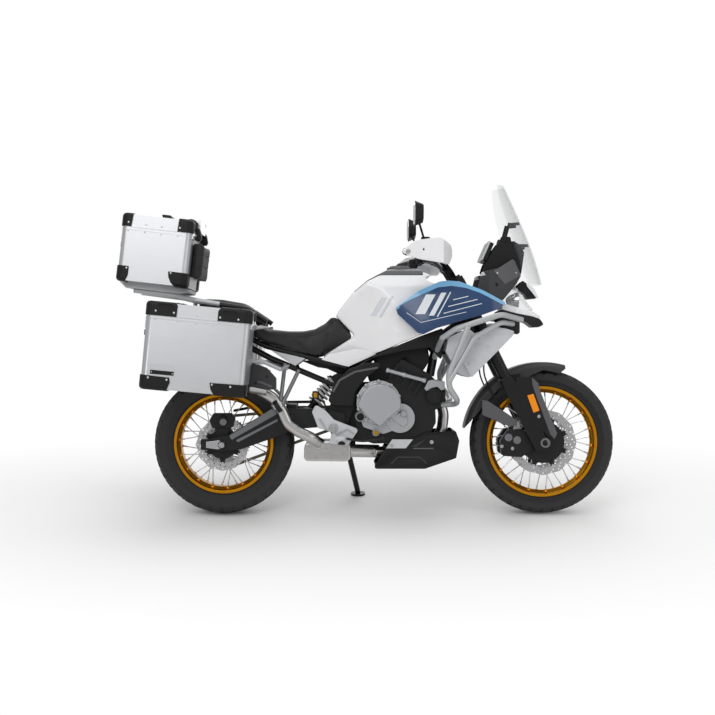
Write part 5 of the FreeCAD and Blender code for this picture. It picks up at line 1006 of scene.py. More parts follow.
def make_case_shells(case, base_outlines, lid_outlines, slots):
    """The sheet boxes of base and lid with the beads beside their seam, and the corner guards."""
    lid, seam = CASES[case].lid, CASES[case].seam
    dressed_sheet(case, 0.8, angle=25)
    dressed_sheet(lid, 1.6, 3, angle=25)
    for node, low, high in ((case, seam - 11, seam - 2.5), (lid, seam + 2.5, seam + 9)):
        bead = case_shell(case, 1.3, low, high)
        bead.name = node + "_bead"
        case_piece(bevelled(bead, 0.5, 2, 50), case, node, "sheet_aluminium", 25)
    base_guards = case_guards(case, base_outlines, case + "_corner_guards")
    lid_guards = case_guards(case, lid_outlines, lid + "_corner_guards")
    for along, up in slots:
        side, = CASES[case].outer
        face = side_face(case, side) + side * 1.5
        slot = bevelled(block("slot", (along[0], face - 6, up[0]), (along[1], face + 6, up[1])), 4, 4, 60)
        slot.data.transform(Matrix.Translation((0, side * 5, 0)))
        cut_out(lid_guards, slot)
    case_piece(bevelled(base_guards, 1.4, 2, 50), case, case, "plastic_black")
    case_piece(bevelled(lid_guards, 1.4, 2, 50), case, lid, "plastic_black")


def make_case_rivets(case, rivets, screws):
    """Rivets and guard screws on the sides that show, for base and lid."""
    nodes = (case, CASES[case].lid)
    for suffix, rows, proud, radius, finish in (("_rivets", rivets, 0, 3.8, "sheet_aluminium"),
                                                ("_guard_screws", screws, 5.2, 4.6, "bright_steel")):
        for node, places in zip(nodes, rows):
            heads = [rivet_row("heads", [(x, side_face(case, side) + side * proud, z) for x, z in places],
                               (0, side, 0), radius) for side in CASES[case].outer]
            case_piece(joined(node + suffix, heads), case, node, finish)


def make_side_case_fittings(case):
    """One latch, its two release knobs, and a plain plate in two halves on the outer face."""
    middle = (CASES[case].low_y + CASES[case].high_y) / 2
    toggle_latch(case + "_latch", case, middle)
    knobs = joined(case + "_release_knobs", [
        block("knob", (-9, middle - 15, 152), (0.5, middle + 15, 172)),
        block("knob", (-8, middle - 13, 78), (0.5, middle + 13, 98))])
    case_piece(bevelled(knobs, 3.5, 3), case, case, "plastic_black")
    side, = CASES[case].outer
    face = side_face(case, side)
    low, high = sorted((face, face + side * 1.3))
    for name, along, up, finish in (("_plate_upper", (39, 141), (80, 106), "plastic_silver"),
                                    ("_plate_lower", (40, 140), (62, 79), "plastic_black")):
        half = block(case + name, (along[0], low, up[0]), (along[1], high, up[1]))
        case_piece(bevelled(half, 0.5), case, case, finish)
    rivets = rivet_row(case + "_plate_rivets", [(x, face + side * 1.2, 70) for x in (46, 134)],
                       (0, side, 0), 3)
    case_piece(rivets, case, case, "bright_steel")


def make_lid_ribs(case):
    """Ribs pressed along the lid."""
    length, low_y, high_y, height = CASES[case][2:6]
    ribs = []
    for index in range(3):
        y = low_y + (high_y - low_y) * (index + 1) / 4
        ribs.append(block("rib", (66, y - 9, height - 1), (length - 66, y + 9, height + 1.6)))
    lid = CASES[case].lid
    case_piece(bevelled(joined(lid + "_ribs", ribs), 1.5, 3), case, lid, "sheet_aluminium")


# upper and lower leaf of a hinge cover, and the lever that frees the case, as (x, z) outlines
LEAF_UPPER = ((-152, 1334), (-134, 1336), (-121, 1330), (-108, 1316), (-114, 1296), (-128, 1290),
              (-146, 1292))
LEAF_LOWER = ((-128, 1284), (-112, 1290), (-104, 1296), (-97, 1280), (-92, 1250), (-98, 1238),
              (-116, 1236), (-130, 1262))
RELEASE_LEVER = ((-480, 1060), (-470, 1064), (-446, 1046), (-436, 1046), (-432, 1036), (-450, 1032))


def make_top_case_fittings():
    case = "top_case"
    for y, side_name in ((-95, "right"), (95, "left")):
        toggle_latch("%s_latch_%s" % (case, side_name), case, y)


def make_top_case_hardware():
    case = "top_case"
    # carry handle across the lid, on two feet
    handle = joined("carry_handle", [
        block("bar", (146, -70, 312), (186, 70, 322)),
        block("foot", (150, -74, 293), (182, -48, 320)), block("foot", (150, 48, 293), (182, 74, 320))])
    case_piece(bevelled(handle, 4, 3), case, "top_case_lid", "plastic_black")
    # hinge covers: the upper leaf rides on the lid, the lower one on the case
    for y, side_name in ((-128, "right"), (94, "left")):
        for name, outline, node in (("upper_", LEAF_UPPER, "top_case_lid"), ("lower_", LEAF_LOWER, case)):
            plate_on("hinge_leaf_" + name + side_name, outline, (y, y + 34), 3, 3, node, "plastic_black")
    plate_on("release_lever", RELEASE_LEVER, (-24, 24), 1.5, 2, case, "plastic_silver")


def make_luggage():
    for case in CASES:
        if case == "top_case":
            make_case_shells(case, TOP_BASE_GUARDS, TOP_LID_GUARDS, ())
            make_case_rivets(case, TOP_RIVETS, TOP_SCREWS)
            make_top_case_fittings()
        else:
            make_case_shells(case, SIDE_BASE_GUARDS, SIDE_LID_GUARDS, STRAP_SLOTS)
            make_case_rivets(case, SIDE_RIVETS, SIDE_SCREWS)
            make_side_case_fittings(case)
        make_lid_ribs(case)
    make_top_case_hardware()


make_luggage()


# ---------------------------------------------------------------- bodywork, engine and running gear

def stripe(points, width):
    """The outline of a line of even width along (x, z) points."""
    left = []
    right = []
    for index, (x, z) in enumerate(points):
        before = points[max(0, index - 1)]
        after = points[min(len(points) - 1, index + 1)]
        run = Vector((after[0] - before[0], after[1] - before[1])).normalized()
        left.append((x - run.y * width / 2, z + run.x * width / 2))
        right.append((x + run.y * width / 2, z - run.x * width / 2))
    return tuple(left + right[::-1])


def scored(obj, outlines, reach, depth=1.8):
    """Cuts shallow grooves into both sides of an upright shape, along (x, z) outlines."""
    core = copied(obj, "core", Matrix())
    modified(core, "DISPLACE", strength=-depth, mid_level=0)
    grooves = []
    for low_y, high_y in both_sides(*reach):
        grooves += [plate("groove", outline, low_y, high_y) for outline in outlines]
    groove = joined("grooves", grooves)
    cut_out(groove, core)
    return cut_out(obj, groove)


def inlays(name, dressed, outlines, reach, node, finish, rise=0.7, edge=0.0, sides=(0, 1)):
    """The same inlay on both sides of a dressed piece, riding with its node."""
    ranges = [both_sides(*reach)[side] for side in sides]
    pieces = [inlay(name + str(index), dressed, outlines, low_y, high_y, rise)
              for index, (low_y, high_y) in enumerate(ranges)]
    piece = joined(name, pieces)
    if edge:
        bevelled(piece, edge, 2, 50)
    return put_on(piece, node, finish, 30)


TANK_SEAM = ((550, 769), (610, 752), (690, 729), (700, 728))
# a generic device of slanted bars with three thin lines running forward from it
PANEL_BARS = (((866, 905), (908, 905), (955, 992), (913, 992)),
              ((925, 898), (948, 898), (1003, 1000), (980, 1000)))
PANEL_LINES = (stripe(((962, 893), (1022, 1003)), 5), stripe(((990, 908), (1160, 952)), 3.4),
               stripe(((1010, 938), (1140, 970)), 3.4), stripe(((1032, 968), (1100, 984)), 3.4),
               stripe(((828, 912), (890, 868), (1090, 914)), 2.4))
PANEL_SKY = ((776, 928), (776, 940), (798, 966), (854, 1006), (928, 1042), (1003, 1058), (1071, 1056),
             (1151, 1028), (1188, 1006), (1250, 972), (1275, 955), (1262, 944), (1188, 981), (1151, 1000),
             (1089, 1022), (1027, 1031), (966, 1024), (904, 996), (842, 968), (800, 944), (792, 928))
TANK_DEVICE = (((668, 898), (692, 898), (742, 982), (718, 982)),
               ((704, 892), (716, 892), (772, 988), (760, 988)))


TANK_FLANK = (60, 200)
CAP_PLACE = Vector((800, 0, 1128))
FILLER_CAP = ((-8, 43), (0, 43), (3, 41), (4, 38), (3.2, 30), (3.4, 0.5))


def make_tank():
    tank = moulded_copy("fuel_tank", 4.5, 16)
    scored(tank, (stripe(TANK_SEAM, 2.2),), TANK_FLANK)
    stand_for(tank, "fuel_tank")
    inlays("tank_device", tank, TANK_DEVICE, TANK_FLANK, "fuel_tank", "paint_ghost", 0.35)
    dressed_moulding("tank_trim", 2.2, 3, "plastic_grey")
    round_on("filler_cap", FILLER_CAP, CAP_PLACE, (0, 0, 1), 48, "tank_trim", "cast_black")
    barrel = rod("lock", 9, CAP_PLACE + Vector((10, 0, 3)), CAP_PLACE + Vector((10, 0, 6.5)), 1, 24)
    lock = joined("filler_lock", [barrel, block("key_flap", (780, -6, 1130.5), (803, 6, 1134))])
    put_on(bevelled(lock, 0.8), "tank_trim", "bright_steel")
    bolts = []
    for index in range(6):
        angle = math.pi * (index + 0.5) / 3
        bolts.append(CAP_PLACE + Vector((50 * math.cos(angle), 50 * math.sin(angle), -5)))
    put_on(bolt_row("filler_bolts", bolts, (0, 0, 1), 3.5, 3), "tank_trim", "bright_steel")


PANEL_FACE = (150, 300)


def make_side_panels():
    node = "side_panels"
    panel = dressed_sheet(node, 5, 3, angle=25)
    inlays("panel_upper_edge", panel, (PANEL_SKY,), (60, 300), node, "paint_sky", 0.9)
    inlays("panel_bars", panel, PANEL_BARS, PANEL_FACE, node, "paint_graphic", 0.5)
    inlays("panel_lines", panel, PANEL_LINES, PANEL_FACE, node, "paint_graphic", 0.5)


# painted highlight: outline of the fairing's upper facet, which is lit more than the lower one, for a
# lighter grey skin
FAIRING_PAINTED_HIGHLIGHT = ((1219, 1101), (1243, 1114), (1321, 1165), (1352, 1086), (1272, 1043))
FAIRING_SILVER = ((1120, 1082), (1170, 1100), (1182, 1082), (1120, 1066))
FAIRING_BOLTS = ((1236, 1092), (1326, 1096))
LAMP_HOOD = ((1324, 1030), (1364, 1064), (1385, 1048), (1415, 1018), (1430, 984), (1386, 980),
             (1374, 1002), (1349, 1020))
DAY_LAMP = ((1376, 1054), (1390, 1050), (1417, 1022), (1434, 986), (1424, 984), (1403, 1011),
            (1383, 1035))
LAMP_BOWL = ((0, 8), (4, 14), (14, 24), (30, 32), (46, 36), (48, 34), (32, 29), (16, 21), (8, 12), (6, 1))
LAMP_PROJECTOR = ((6, 12), (24, 15), (30, 15), (33, 11), (35, 1))
LAMP_FOOT = (1296, 38, 975)
AHEAD = (1, 0, 0)


def make_nose():
    node = "nose_fairing"
    fairing = dressed_moulding(node, 3.0, 5, "plastic_dark_grey")
    # painted highlight: a lighter grey skin over the upper facet stands in for the light falling on it
    inlays("fairing_painted_highlight", fairing, (FAIRING_PAINTED_HIGHLIGHT,), (40, 220), node, "plastic_grey", 0.9, 0.4)
    inlays("fairing_inner_panel", fairing, (FAIRING_SILVER,), (20, 220), node, "plastic_silver", 0.9)
    bolts = skin_bolts("fairing_bolts", fairing, FAIRING_BOLTS, radius=4.5, height=3)
    put_on(bolts, node, "bright_steel")
    dressed_moulding("beak", 2.6, 4)
    dressed_moulding("lower_beak", 2.6, 3)
    plate_on("lamp_hood", LAMP_HOOD, (-46, 46), 4, 3, "headlight", "plastic_black")
    for side, side_name in SIDES:
        plate_on("day_lamp_" + side_name, DAY_LAMP, across(side, 47, 56), 1.5, 3, "headlight",
                 "lamp_white")
    dressed_moulding("headlight", 2.6, 4)
    # chrome bowls with their projector lenses, looking forward
    for side, side_name in SIDES:
        foot = beside(side, LAMP_FOOT)
        round_on("lamp_bowl_" + side_name, LAMP_BOWL, foot, AHEAD, 40, "headlight", "bowl_chrome")
        round_on("lamp_projector_" + side_name, LAMP_PROJECTOR, foot, AHEAD, 32, "headlight",
                 "lamp_white")


COVER_PAD = ((612, 500), (629, 546), (660, 580), (699, 593), (744, 588), (778, 566), (798, 529),
             (801, 490), (750, 448), (709, 407), (659, 444))
COVER_FOOT_PAD = ((758, 440), (801, 470), (830, 444), (836, 416), (812, 402))
# pad: its outline, and a place on it where the cover's skin is found
COVER_PADS = {"cover_pad": (COVER_PAD, (704, 512)), "cover_foot_pad": (COVER_FOOT_PAD, (806, 432))}
# side: middle of its round cover and the circle of its bolt bosses
COVER_CIRCLES = {-1: (704, 512, 95), 1: (742, 470, 81)}
COVER_BOLTS = 10
# a round part on the right cover; foot: radius of its cast foot; stations: (height, radius) above it
Fitting = namedtuple("Fitting", "name x z foot stations steps finish")
COVER_FITTINGS = (
    Fitting("oil_filler", 622, 449, 22, ((0, 17), (7, 17), (9, 15), (9, 12), (7, 11), (7, 0.5)), 32,
            "plastic_black"),
    Fitting("drain_plug", 692, 378, 16, ((0, 11), (5, 11), (7, 9.5), (7, 7), (5.5, 6), (5.5, 0.5)), 32,
            "seal_gold"),
    Fitting("cover_boss", 815, 462, 15, ((0, 11), (8, 11), (9.5, 9.5), (9.5, 6), (7, 5), (7, 0.5)), 28,
            "cast_silver"))
COVER_FOOT_Y = -128
FITTING_Y = -175
CAM_COVER = ((925, 609), (945, 614), (1000, 606), (1001, 572), (984, 566), (966, 582), (940, 576),
             (918, 562), (908, 574))
CAM_CAP = ((0, 34), (11, 34), (14, 31), (14, 24), (12, 22), (12, 0.5))
CAM_CAP_FOOT = (951, 147, 541)
PLUG_LEAD = ((820, 60, 690), (812, 92, 712), (836, 112, 706), (858, 120, 676))
SKID_FLANK = (110, 180)
SKID_INSERT = ((765, 346), (858, 346), (826, 306), (737, 306))
SKID_RECESSES = (((846, 313), (917, 348), (900, 333), (874, 313)),
                 stripe(((760, 236), (790, 266), (890, 266), (920, 238)), 7))
SKID_RIDGE = stripe(((858, 305), (950, 305)), 6)
SKID_BOLTS = ((764, 318), (942, 334))


def make_engine_covers():
    node = "engine_covers"
    covers = dressed_moulding(node, 2.4, 3)
    # raised pads cast on the right cover
    for name, (outline, (x, z)) in COVER_PADS.items():
        face = on_skin(covers, x, z, -1)[0]
        plate_on(name, outline, (face.y - 7, face.y + 3), 4.5, 4, node, "cast_silver")
    bolts = []
    for side, (x, z, circle) in COVER_CIRCLES.items():
        angles = [2 * math.pi * (index + 0.5) / COVER_BOLTS for index in range(COVER_BOLTS)]
        places = [(x + circle * math.cos(angle), z + circle * math.sin(angle)) for angle in angles]
        bolts.append(skin_bolts("bolts", covers, places, (side,), 5.5, 5))
    put_on(joined("cover_bolts", bolts), node, "bright_steel")
    for part in COVER_FITTINGS:
        foot = ((0, part.foot + 3), (46, part.foot), (49, part.foot - 2), (49, 0.5))
        round_on(part.name + "_foot", foot, (part.x, COVER_FOOT_Y, part.z), (0, -1, 0), 32, node,
                 "cast_silver")
    for part in COVER_FITTINGS:
        start = Vector((part.x, FITTING_Y, part.z))
        fitting = spindle(part.name, part.stations, start, start - Vector((0, 20, 0)), part.steps)
        if part.name == "oil_filler":
            wing = block("wing", (611, -188, 446), (633, -178, 452))
            fitting = joined(part.name, [fitting, bevelled(wing, 1, 3)])
        put_on(fitting, node, part.finish)


def make_engine_head():
    node = "engine_head"
    dressed_sheet("crankcase", 3.0)
    dressed_sheet(node, 2.0)
    for side, side_name in SIDES:
        plate_on("cam_cover_" + side_name, CAM_COVER, across(side, 149, 158), 3, 3, node, "cast_silver")
        round_on("cam_cap_" + side_name, CAM_CAP, beside(side, CAM_CAP_FOOT), (0, side, 0), 48, node,
                 "cast_black")
        put_on(pipe("plug_lead_" + side_name, 4, to_side(side, PLUG_LEAD)), node, "rubber_black")


def make_skid_plate():
    node = "skid_plate"
    skid = dressed_sheet(node, 3.0, finish="plastic_black")
    inlays("skid_insert", skid, (SKID_INSERT,), SKID_FLANK, node, "plastic_silver", 1.6, 0.8)
    inlays("skid_recess", skid, SKID_RECESSES, SKID_FLANK, node, "plastic_dark_grey", 1.6, 0.7)
    inlays("skid_ridge", skid, (SKID_RIDGE,), SKID_FLANK, node, "plastic_grey", 2.0, 0.9)
    put_on(skin_bolts("skid_bolts", skid, SKID_BOLTS, radius=7, height=4), node, "bright_steel")


RADIATOR_FLANK = (150, 300)
RADIATOR_WEDGES = (((1106, 757), (1113, 770), (1158, 769), (1191, 763)),
                   ((1074, 697), (1081, 711), (1101, 710), (1131, 700)))
RADIATOR_BAND = ((1128, 817), (1196, 840), (1262, 843), (1301, 828), (1278, 816))
RADIATOR_BOLTS = ((1099, 684), (1148, 797))


def make_radiator_covers():
    node = "radiator_covers"
    covers = dressed_moulding(node, 2.6, 3)
    inlays("radiator_wedges", covers, RADIATOR_WEDGES, RADIATOR_FLANK, node, "plastic_silver", 4.0, 1.8)
    inlays("radiator_upper_band", covers, (RADIATOR_BAND,), RADIATOR_FLANK, node, "plastic_silver",
           2.4, 1.6)
    bolts = skin_bolts("radiator_cover_bolts", covers, RADIATOR_BOLTS, radius=5, height=3)
    put_on(bolts, node, "bright_steel")
    dressed_moulding("side_shrouds", 2.8, 3)
    dressed_sheet("radiator", 1.2)


SWING_BAND = ((38, 352), (36, 364), (72, 386), (223, 482), (244, 474), (246, 458), (60, 353), (47, 343))
SWING_LINE = ((64, 342), (250, 437), (252, 428), (72, 332))
AXLE_PLATE = ((-70, 308), (-70, 334), (-18, 341), (14, 334), (14, 309), (-18, 301))
AXLE_NUT = ((0, 17), (4, 17), (4.5, 15), (13, 15), (15, 13), (15, 9), (13, 8), (13, 0.5))
ADJUSTER = ((-118, 128, REAR_TYRE_RADIUS), (-72, 128, REAR_TYRE_RADIUS))
CALIPER_CAP = ((-2, 16), (5, 16), (7, 14), (7, 2), (6, 0.5))
CALIPER_CAP_FOOT = (6, -126, 423)
SHOCK_FOOT = Vector((408, 0, 500))
SHOCK_TOP = Vector((514, 0, 622))
SHOCK_BODY = ((-26, 14), (-10, 14), (-8, 22), (4, 24), (6, 19), (60, 19), (62, 12), (140, 12), (142, 30),
              (150, 30), (152, 20), (168, 16))
SPRING_TURNS = 7
SPRING_STEPS = 12
SPRING_START = 10
SPRING_LENGTH = 128
SPRING_RADIUS = 32
SPRING_WIRE = 5.5
RESERVOIR_HOSE = ((424, -138, 530), (452, -138, 520), (470, -150, 492), (470, -158, 462))
HANGERS = {"rear": ((284, -126, 686), (268, -182, 520)), "front": ((346, -124, 657), (272, -182, 500))}
# the exhaust's clamp: its place, and its fall to the rear in degrees
CLAMP_PLACE = (255, -190, 496)
CLAMP_FALL = 58
UNDER_SEAT = ((222, 744), (300, 727), (377, 710), (352, 692), (329, 675), (268, 712))


def make_swingarm():
    node = "swingarm"
    arm = dressed_sheet(node, 3.0, finish="cast_black")
    inlays("swingarm_band", arm, (SWING_BAND, SWING_LINE), (110, 180), node, "cast_grey", 1.6, 0.8)
    for side, side_name in SIDES:
        plate_on("axle_plate_" + side_name, AXLE_PLATE, across(side, 134, 139), 1.5, 2, node,
                 "bright_steel")
        round_on("axle_nut_" + side_name, AXLE_NUT, (0, side * 134, REAR_AXLE.z), (0, side, 0), 6, node,
                 "bright_steel", 20)
        put_on(rod("adjuster_bolt_" + side_name, 4.5, *to_side(side, ADJUSTER)), node, "bright_steel")
    dressed_sheet("hugger", 1.2)
    dressed_moulding("rear_caliper", 2.0, 2, "cast_black")
    round_on("rear_caliper_cap", CALIPER_CAP, CALIPER_CAP_FOOT, (0, -1, 0), 32, "rear_caliper",
             "cast_grey")


def make_shock():
    """A spring wound round its damper."""
    leftwards = Vector((0, 1, 0))
    axis = (SHOCK_TOP - SHOCK_FOOT).normalized()
    outwards = axis.cross(leftwards).normalized()
    route = []
    for step in range(SPRING_TURNS * SPRING_STEPS + 1):
        angle = 2 * math.pi * step / SPRING_STEPS
        share = step / (SPRING_TURNS * SPRING_STEPS)
        reach = (outwards * math.cos(angle) + leftwards * math.sin(angle)) * SPRING_RADIUS
        route.append(SHOCK_FOOT + axis * (SPRING_START + SPRING_LENGTH * share) + reach)
    stand_for(pipe("shock_spring", SPRING_WIRE, route, 12), "rear_shock", "paint_white")
    put_on(spindle("shock_body", SHOCK_BODY, SHOCK_FOOT, SHOCK_TOP, 32), "rear_shock", "cast_black")


def make_frame_fittings():
    """The brake fluid reservoir, the exhaust's hangers and clamp, and the panels under the seat."""
    reservoir = block("brake_reservoir", (407, -152, 529), (436, -124, 562))
    put_on(bevelled(reservoir, 4, 3), "frame", "plastic_black")
    window = block("brake_reservoir_window", (413, -155, 534), (430, -150, 555))
    put_on(bevelled(window, 1.5), "frame", "seal_gold")
    put_on(pipe("brake_reservoir_hose", 4, RESERVOIR_HOSE), "frame", "rubber_black")
    for name, (start, end) in HANGERS.items():
        put_on(rod("exhaust_hanger_" + name, 9, start, end, 2), "frame", "cast_grey")
    clamp = lathe("clamp", ((25, -11), (29, -11), (29, 11), (25, 11)), (0, 0, 0), 32)
    clamp.data.transform(Matrix.Translation(CLAMP_PLACE)
                         @ Matrix.Rotation(math.radians(CLAMP_FALL), 4, "Y")
                         @ Matrix.Rotation(math.radians(90), 4, "X"))
    put_on(clamp, "exhaust", "cast_black")
    under = plate("under_seat_panel", UNDER_SEAT, -126, -121)
    other = copied(under, "under_seat_panel_left", Matrix.Translation((0, 247, 0)))
    put_on(bevelled(joined("under_seat_panels", [under, other]), 1.2), "frame", "plastic_silver")


FOOTREST_EYES = ((502, 398), (600, 362))
# painted shade: outline of a black skin where a shallow recess would lie in shade
FOOTREST_PAINTED_SHADE = ((520, 326), (526, 336), (538, 340), (550, 336), (556, 326), (548, 320), (528, 320))
FOOTREST_RIB = stripe(((440, 440), (470, 392), (520, 372), (566, 392), (594, 372)), 8)
FOOTREST_EYE = ((-6, 21), (2, 21), (5, 18), (5, 12), (1, 11), (1, 0.5))
PEDAL = ((560, 176, 352), (620, 184, 338), (690, 190, 348), (716, 196, 352))
COLLECTOR_SEAMS = (stripe(((366, 304), (590, 304)), 4), stripe(((470, 250), (470, 345)), 4))
MUFFLER_VENT = stripe(((168, 606), (184, 604), (232, 584)), 9)
FRAME_RIDGE = stripe(((500, 560), (530, 612), (600, 650), (700, 668)), 9)
MUFFLER_BOLTS = ((211, 628), (160, 600))
# the right side alone, as an index of both_sides
RIGHT_ONLY = (0,)


def make_exhaust():
    pipes = moulded_copy("exhaust", 2.8, 2)
    modified(pipes, "DISPLACE", strength=2.5, mid_level=0)
    stand_for(pipes, "exhaust")
    inlays("collector_seams", pipes, COLLECTOR_SEAMS, (60, 240), "exhaust", "bright_steel", 1.2,
           sides=RIGHT_ONLY)
    dressed_moulding("muffler", 2.8, 3, "exhaust_steel")
    node = "muffler_cover"
    cover = dressed_sheet(node, 1.0, finish="plastic_dark_grey")
    put_on(skin_bolts("muffler_cover_bolts", cover, MUFFLER_BOLTS, (-1,), 5, 3), node, "cast_black")
    inlays("muffler_cover_vent", cover, (MUFFLER_VENT,), (150, 300), node, "plastic_grey", 1.2, 0.5,
           RIGHT_ONLY)


def make_footrests():
    node = "footrests"
    rests = dressed_moulding(node, 2.4, 2)
    # raised eyes round the bolts, and below them a black skin painted as the shade of a shallow recess
    for side, side_name in SIDES:
        for index, (x, z) in enumerate(FOOTREST_EYES):
            face, out = on_skin(rests, x, z, side)
            if face:
                suffix = "_%s_%d" % (side_name, index)
                round_on("footrest_eye" + suffix, FOOTREST_EYE, face, out, 32, node, "cast_silver")
                put_on(cap_bolt("footrest_bolt" + suffix, face + out, out, 8, 5), node, "bright_steel")
    # painted shade of a shallow recess: a black skin just proud of the casting
    inlays("footrest_painted_shade", rests, (FOOTREST_PAINTED_SHADE,), (100, 240), node, "cast_black", 0.6)
    inlays("footrest_rib", rests, (FOOTREST_RIB,), (100, 240), node, "cast_silver", 3.0, 1.4)
    covers = dressed_moulding("frame_covers", 2.8, 4)
    inlays("frame_cover_ridge", covers, (FRAME_RIDGE,), (120, 220), "frame_covers", "plastic_grey",
           1.4, 0.6)
    for side, side_name in SIDES:
        pedal = pipe("pedal_" + side_name, 5.5, to_side(side, PEDAL))
        pad = bevelled(side_block("pedal_pad", side, (704, 730), (176, 214), (347, 358)), 2.5, 3)
        put_on(joined("pedal_" + side_name, [pedal, pad]), node, "cast_black")


GUARD_BLACK = ((1322, 622), (1345, 626), (1392, 626), (1412, 590), (1498, 366), (1482, 342), (1427, 398),
               (1376, 390), (1346, 499), (1317, 575))
GUARD_STRIP = ((1391, 624), (1421, 598), (1429, 565), (1506, 372), (1493, 346), (1474, 368), (1414, 532),
               (1394, 590))
GUARD_LEG = ((1250, 624), (1345, 640), (1500, 340), (1490, 270), (1390, 270), (1360, 330))
FENDER_ARM = ((1171, 523), (1199, 517), (1330, 430), (1327, 405), (1286, 405), (1171, 455))
REFLECTOR = ((1371, 543), (1399, 550), (1426, 475), (1399, 465))
# plates on the fork's lower legs: outline, distances out, bevel, finish
FORK_PLATES = {"fork_guard_face_": (GUARD_BLACK, (126.6, 133), 2.4, "plastic_black"),
               "fork_guard_strip_": (GUARD_STRIP, (127, 137), 3, "plastic_grey"),
               "fork_reflector_": (REFLECTOR, (132, 138), 1.6, "lens_amber")}
GUARD_BOLT = (1424, 133, 449)
AXLE_BOLT = ((-16, 23), (0, 23), (4, 20), (4, 14), (-2, 12), (-2, 0.5))
BRAKE_HOSE = ((1142, 66, 930), (1156, 86, 880), (1188, 96, 740), (1176, 98, 655), (1196, 98, 590),
              (1262, 96, 470), (1300, 92, 388))
CALIPER_POTS = ((1292, 352), (1331, 340))
CALIPER_POT = ((-3, 18), (3, 18), (5, 16), (5, 8), (3, 7), (3, 0.5))
CALIPER_BOLTS = ((1266, 384), (1262, 312), (1312, 392), (1310, 302))


def make_front_end():
    fender = dressed_moulding("front_fender", 3.0, 2, "plastic_dark_grey")
    for side, side_name in SIDES:
        for name, (outline, out, edge, finish) in FORK_PLATES.items():
            plate_on(name + side_name, outline, across(side, *out), edge, 3, "front_fender", finish)
        bolt = cap_bolt("fork_guard_bolt_" + side_name, beside(side, GUARD_BOLT), (0, side, 0), 6, 4)
        put_on(bolt, "front_fender", "bright_steel")
    dressed_sheet("fork", 1.5, finish="powder_black")
    calipers = dressed_moulding("front_calipers", 2.1, 2, "cast_black")
    for side, side_name in SIDES:
        outwards = (0, side, 0)
        face = on_skin(fender, FRONT_AXLE.x, FRONT_AXLE.z, side)[0]
        start = (FRONT_AXLE.x, face.y if face else side * 127, FRONT_AXLE.z)
        round_on("axle_bolt_" + side_name, AXLE_BOLT, start, outwards, 32, "fork", "cast_grey")
        hose = pipe("front_brake_hose_" + side_name, 3.6, to_side(side, BRAKE_HOSE))
        put_on(hose, "fork", "rubber_black")
        plate_on("fender_arm_" + side_name, FENDER_ARM, across(side, 108, 115), 2.5, 3, "front_fender",
                 "plastic_grey")
        for index, (x, z) in enumerate(CALIPER_POTS):
            face = on_skin(calipers, x, z, side)[0]
            if face:
                round_on("caliper_pot_%s_%d" % (side_name, index), CALIPER_POT, face, outwards, 28,
                         "front_calipers", "cast_grey")
    bolts = skin_bolts("caliper_bolts", calipers, CALIPER_BOLTS, (-1, 1), 6, 5)
    put_on(bolts, "front_calipers", "bright_steel")
    inlays("guard_leg", fender, (GUARD_LEG,), (60, 150), "front_fender", "plastic_black", 0.9)


MIRROR_RIM = ((-88, -44), (-94, 10), (-70, 50), (20, 56), (84, 44), (96, 8), (82, -40), (20, -54))
MIRROR_MIDDLE = (335, 1333)
# the glass lies inside its rim
GLASS_SHARE = 0.86
HANDGUARD_BOLT = (823, 441, 1162)
# brake or clutch cylinder, along its axis in front of the grip
CYLINDER = ((-34, 10), (-30, 13), (20, 13), (24, 10))
CYLINDER_AXIS = ((908, 262, 1192), (912, 300, 1190))
# blocks on the handlebar, as ranges along, out and up
BAR_CLAMP = ((886, 922), (238, 262), (1158, 1200))
SWITCH_BODY = ((858, 900), (262, 306), (1142, 1186))
SWITCH_BUTTONS = (((852, 860), (272, 282), (1150, 1162)), ((852, 860), (272, 282), (1166, 1178)))
KILL_SWITCH = ((853, 861), (288, 300), (1154, 1174))
LEVER = ((914, 282, 1191), (940, 300, 1192), (948, 340, 1186), (930, 384, 1178), (922, 412, 1174))
LOOM = ((912, 250, 1182), (942, 214, 1178), (990, 150, 1150), (1034, 84, 1112), (1064, 40, 1066),
        (1084, 22, 1010))
RESERVOIR_CUP = ((0, 15), (2, 19), (26, 19), (28, 17), (28, 0.5))
RESERVOIR_LID = ((28, 20), (34, 20), (36, 18), (36, 0.5))
RESERVOIR_FOOT = (908, -250, 1206)
BEZEL = ((1167, 1157), (1204, 1242), (1213, 1238), (1176, 1153))
SCREEN = ((1168.5, 1164), (1201, 1238), (1204, 1236), (1171.5, 1162))


def make_bar_end(side, side_name):
    """Guard bolt, cylinder, lever, switches and looms on one side of the handlebar."""
    bolt = cap_bolt("handguard_bolt_" + side_name, beside(side, HANDGUARD_BOLT), (0, side, 0), 9, 5)
    put_on(bolt, "handguards", "bright_steel")
    node = "handlebar"
    body = spindle("body", CYLINDER, *to_side(side, CYLINDER_AXIS), 24)
    clamp = bevelled(side_block("clamp", side, *BAR_CLAMP), 4, 3)
    put_on(joined("cylinder_" + side_name, [body, clamp]), node, "cast_black")
    put_on(pipe("lever_" + side_name, 5.2, to_side(side, LEVER)), node, "cast_black")
    put_on(bevelled(side_block("switch_body", side, *SWITCH_BODY), 6, 3), node, "plastic_black")
    buttons = [side_block("button", side, *ranges) for ranges in SWITCH_BUTTONS]
    put_on(bevelled(joined("switch_buttons_" + side_name, buttons), 1.5), node, "plastic_grey")
    put_on(bevelled(side_block("kill_switch_" + side_name, side, *KILL_SWITCH), 2, 3), node, "lens_red")
    for index, lift in enumerate((0, -10)):
        route = [(x, y, z + lift) for x, y, z in to_side(side, LOOM)]
        put_on(pipe("bar_loom_%s_%d" % (side_name, index), 4.5 - index, route), node, "rubber_black")


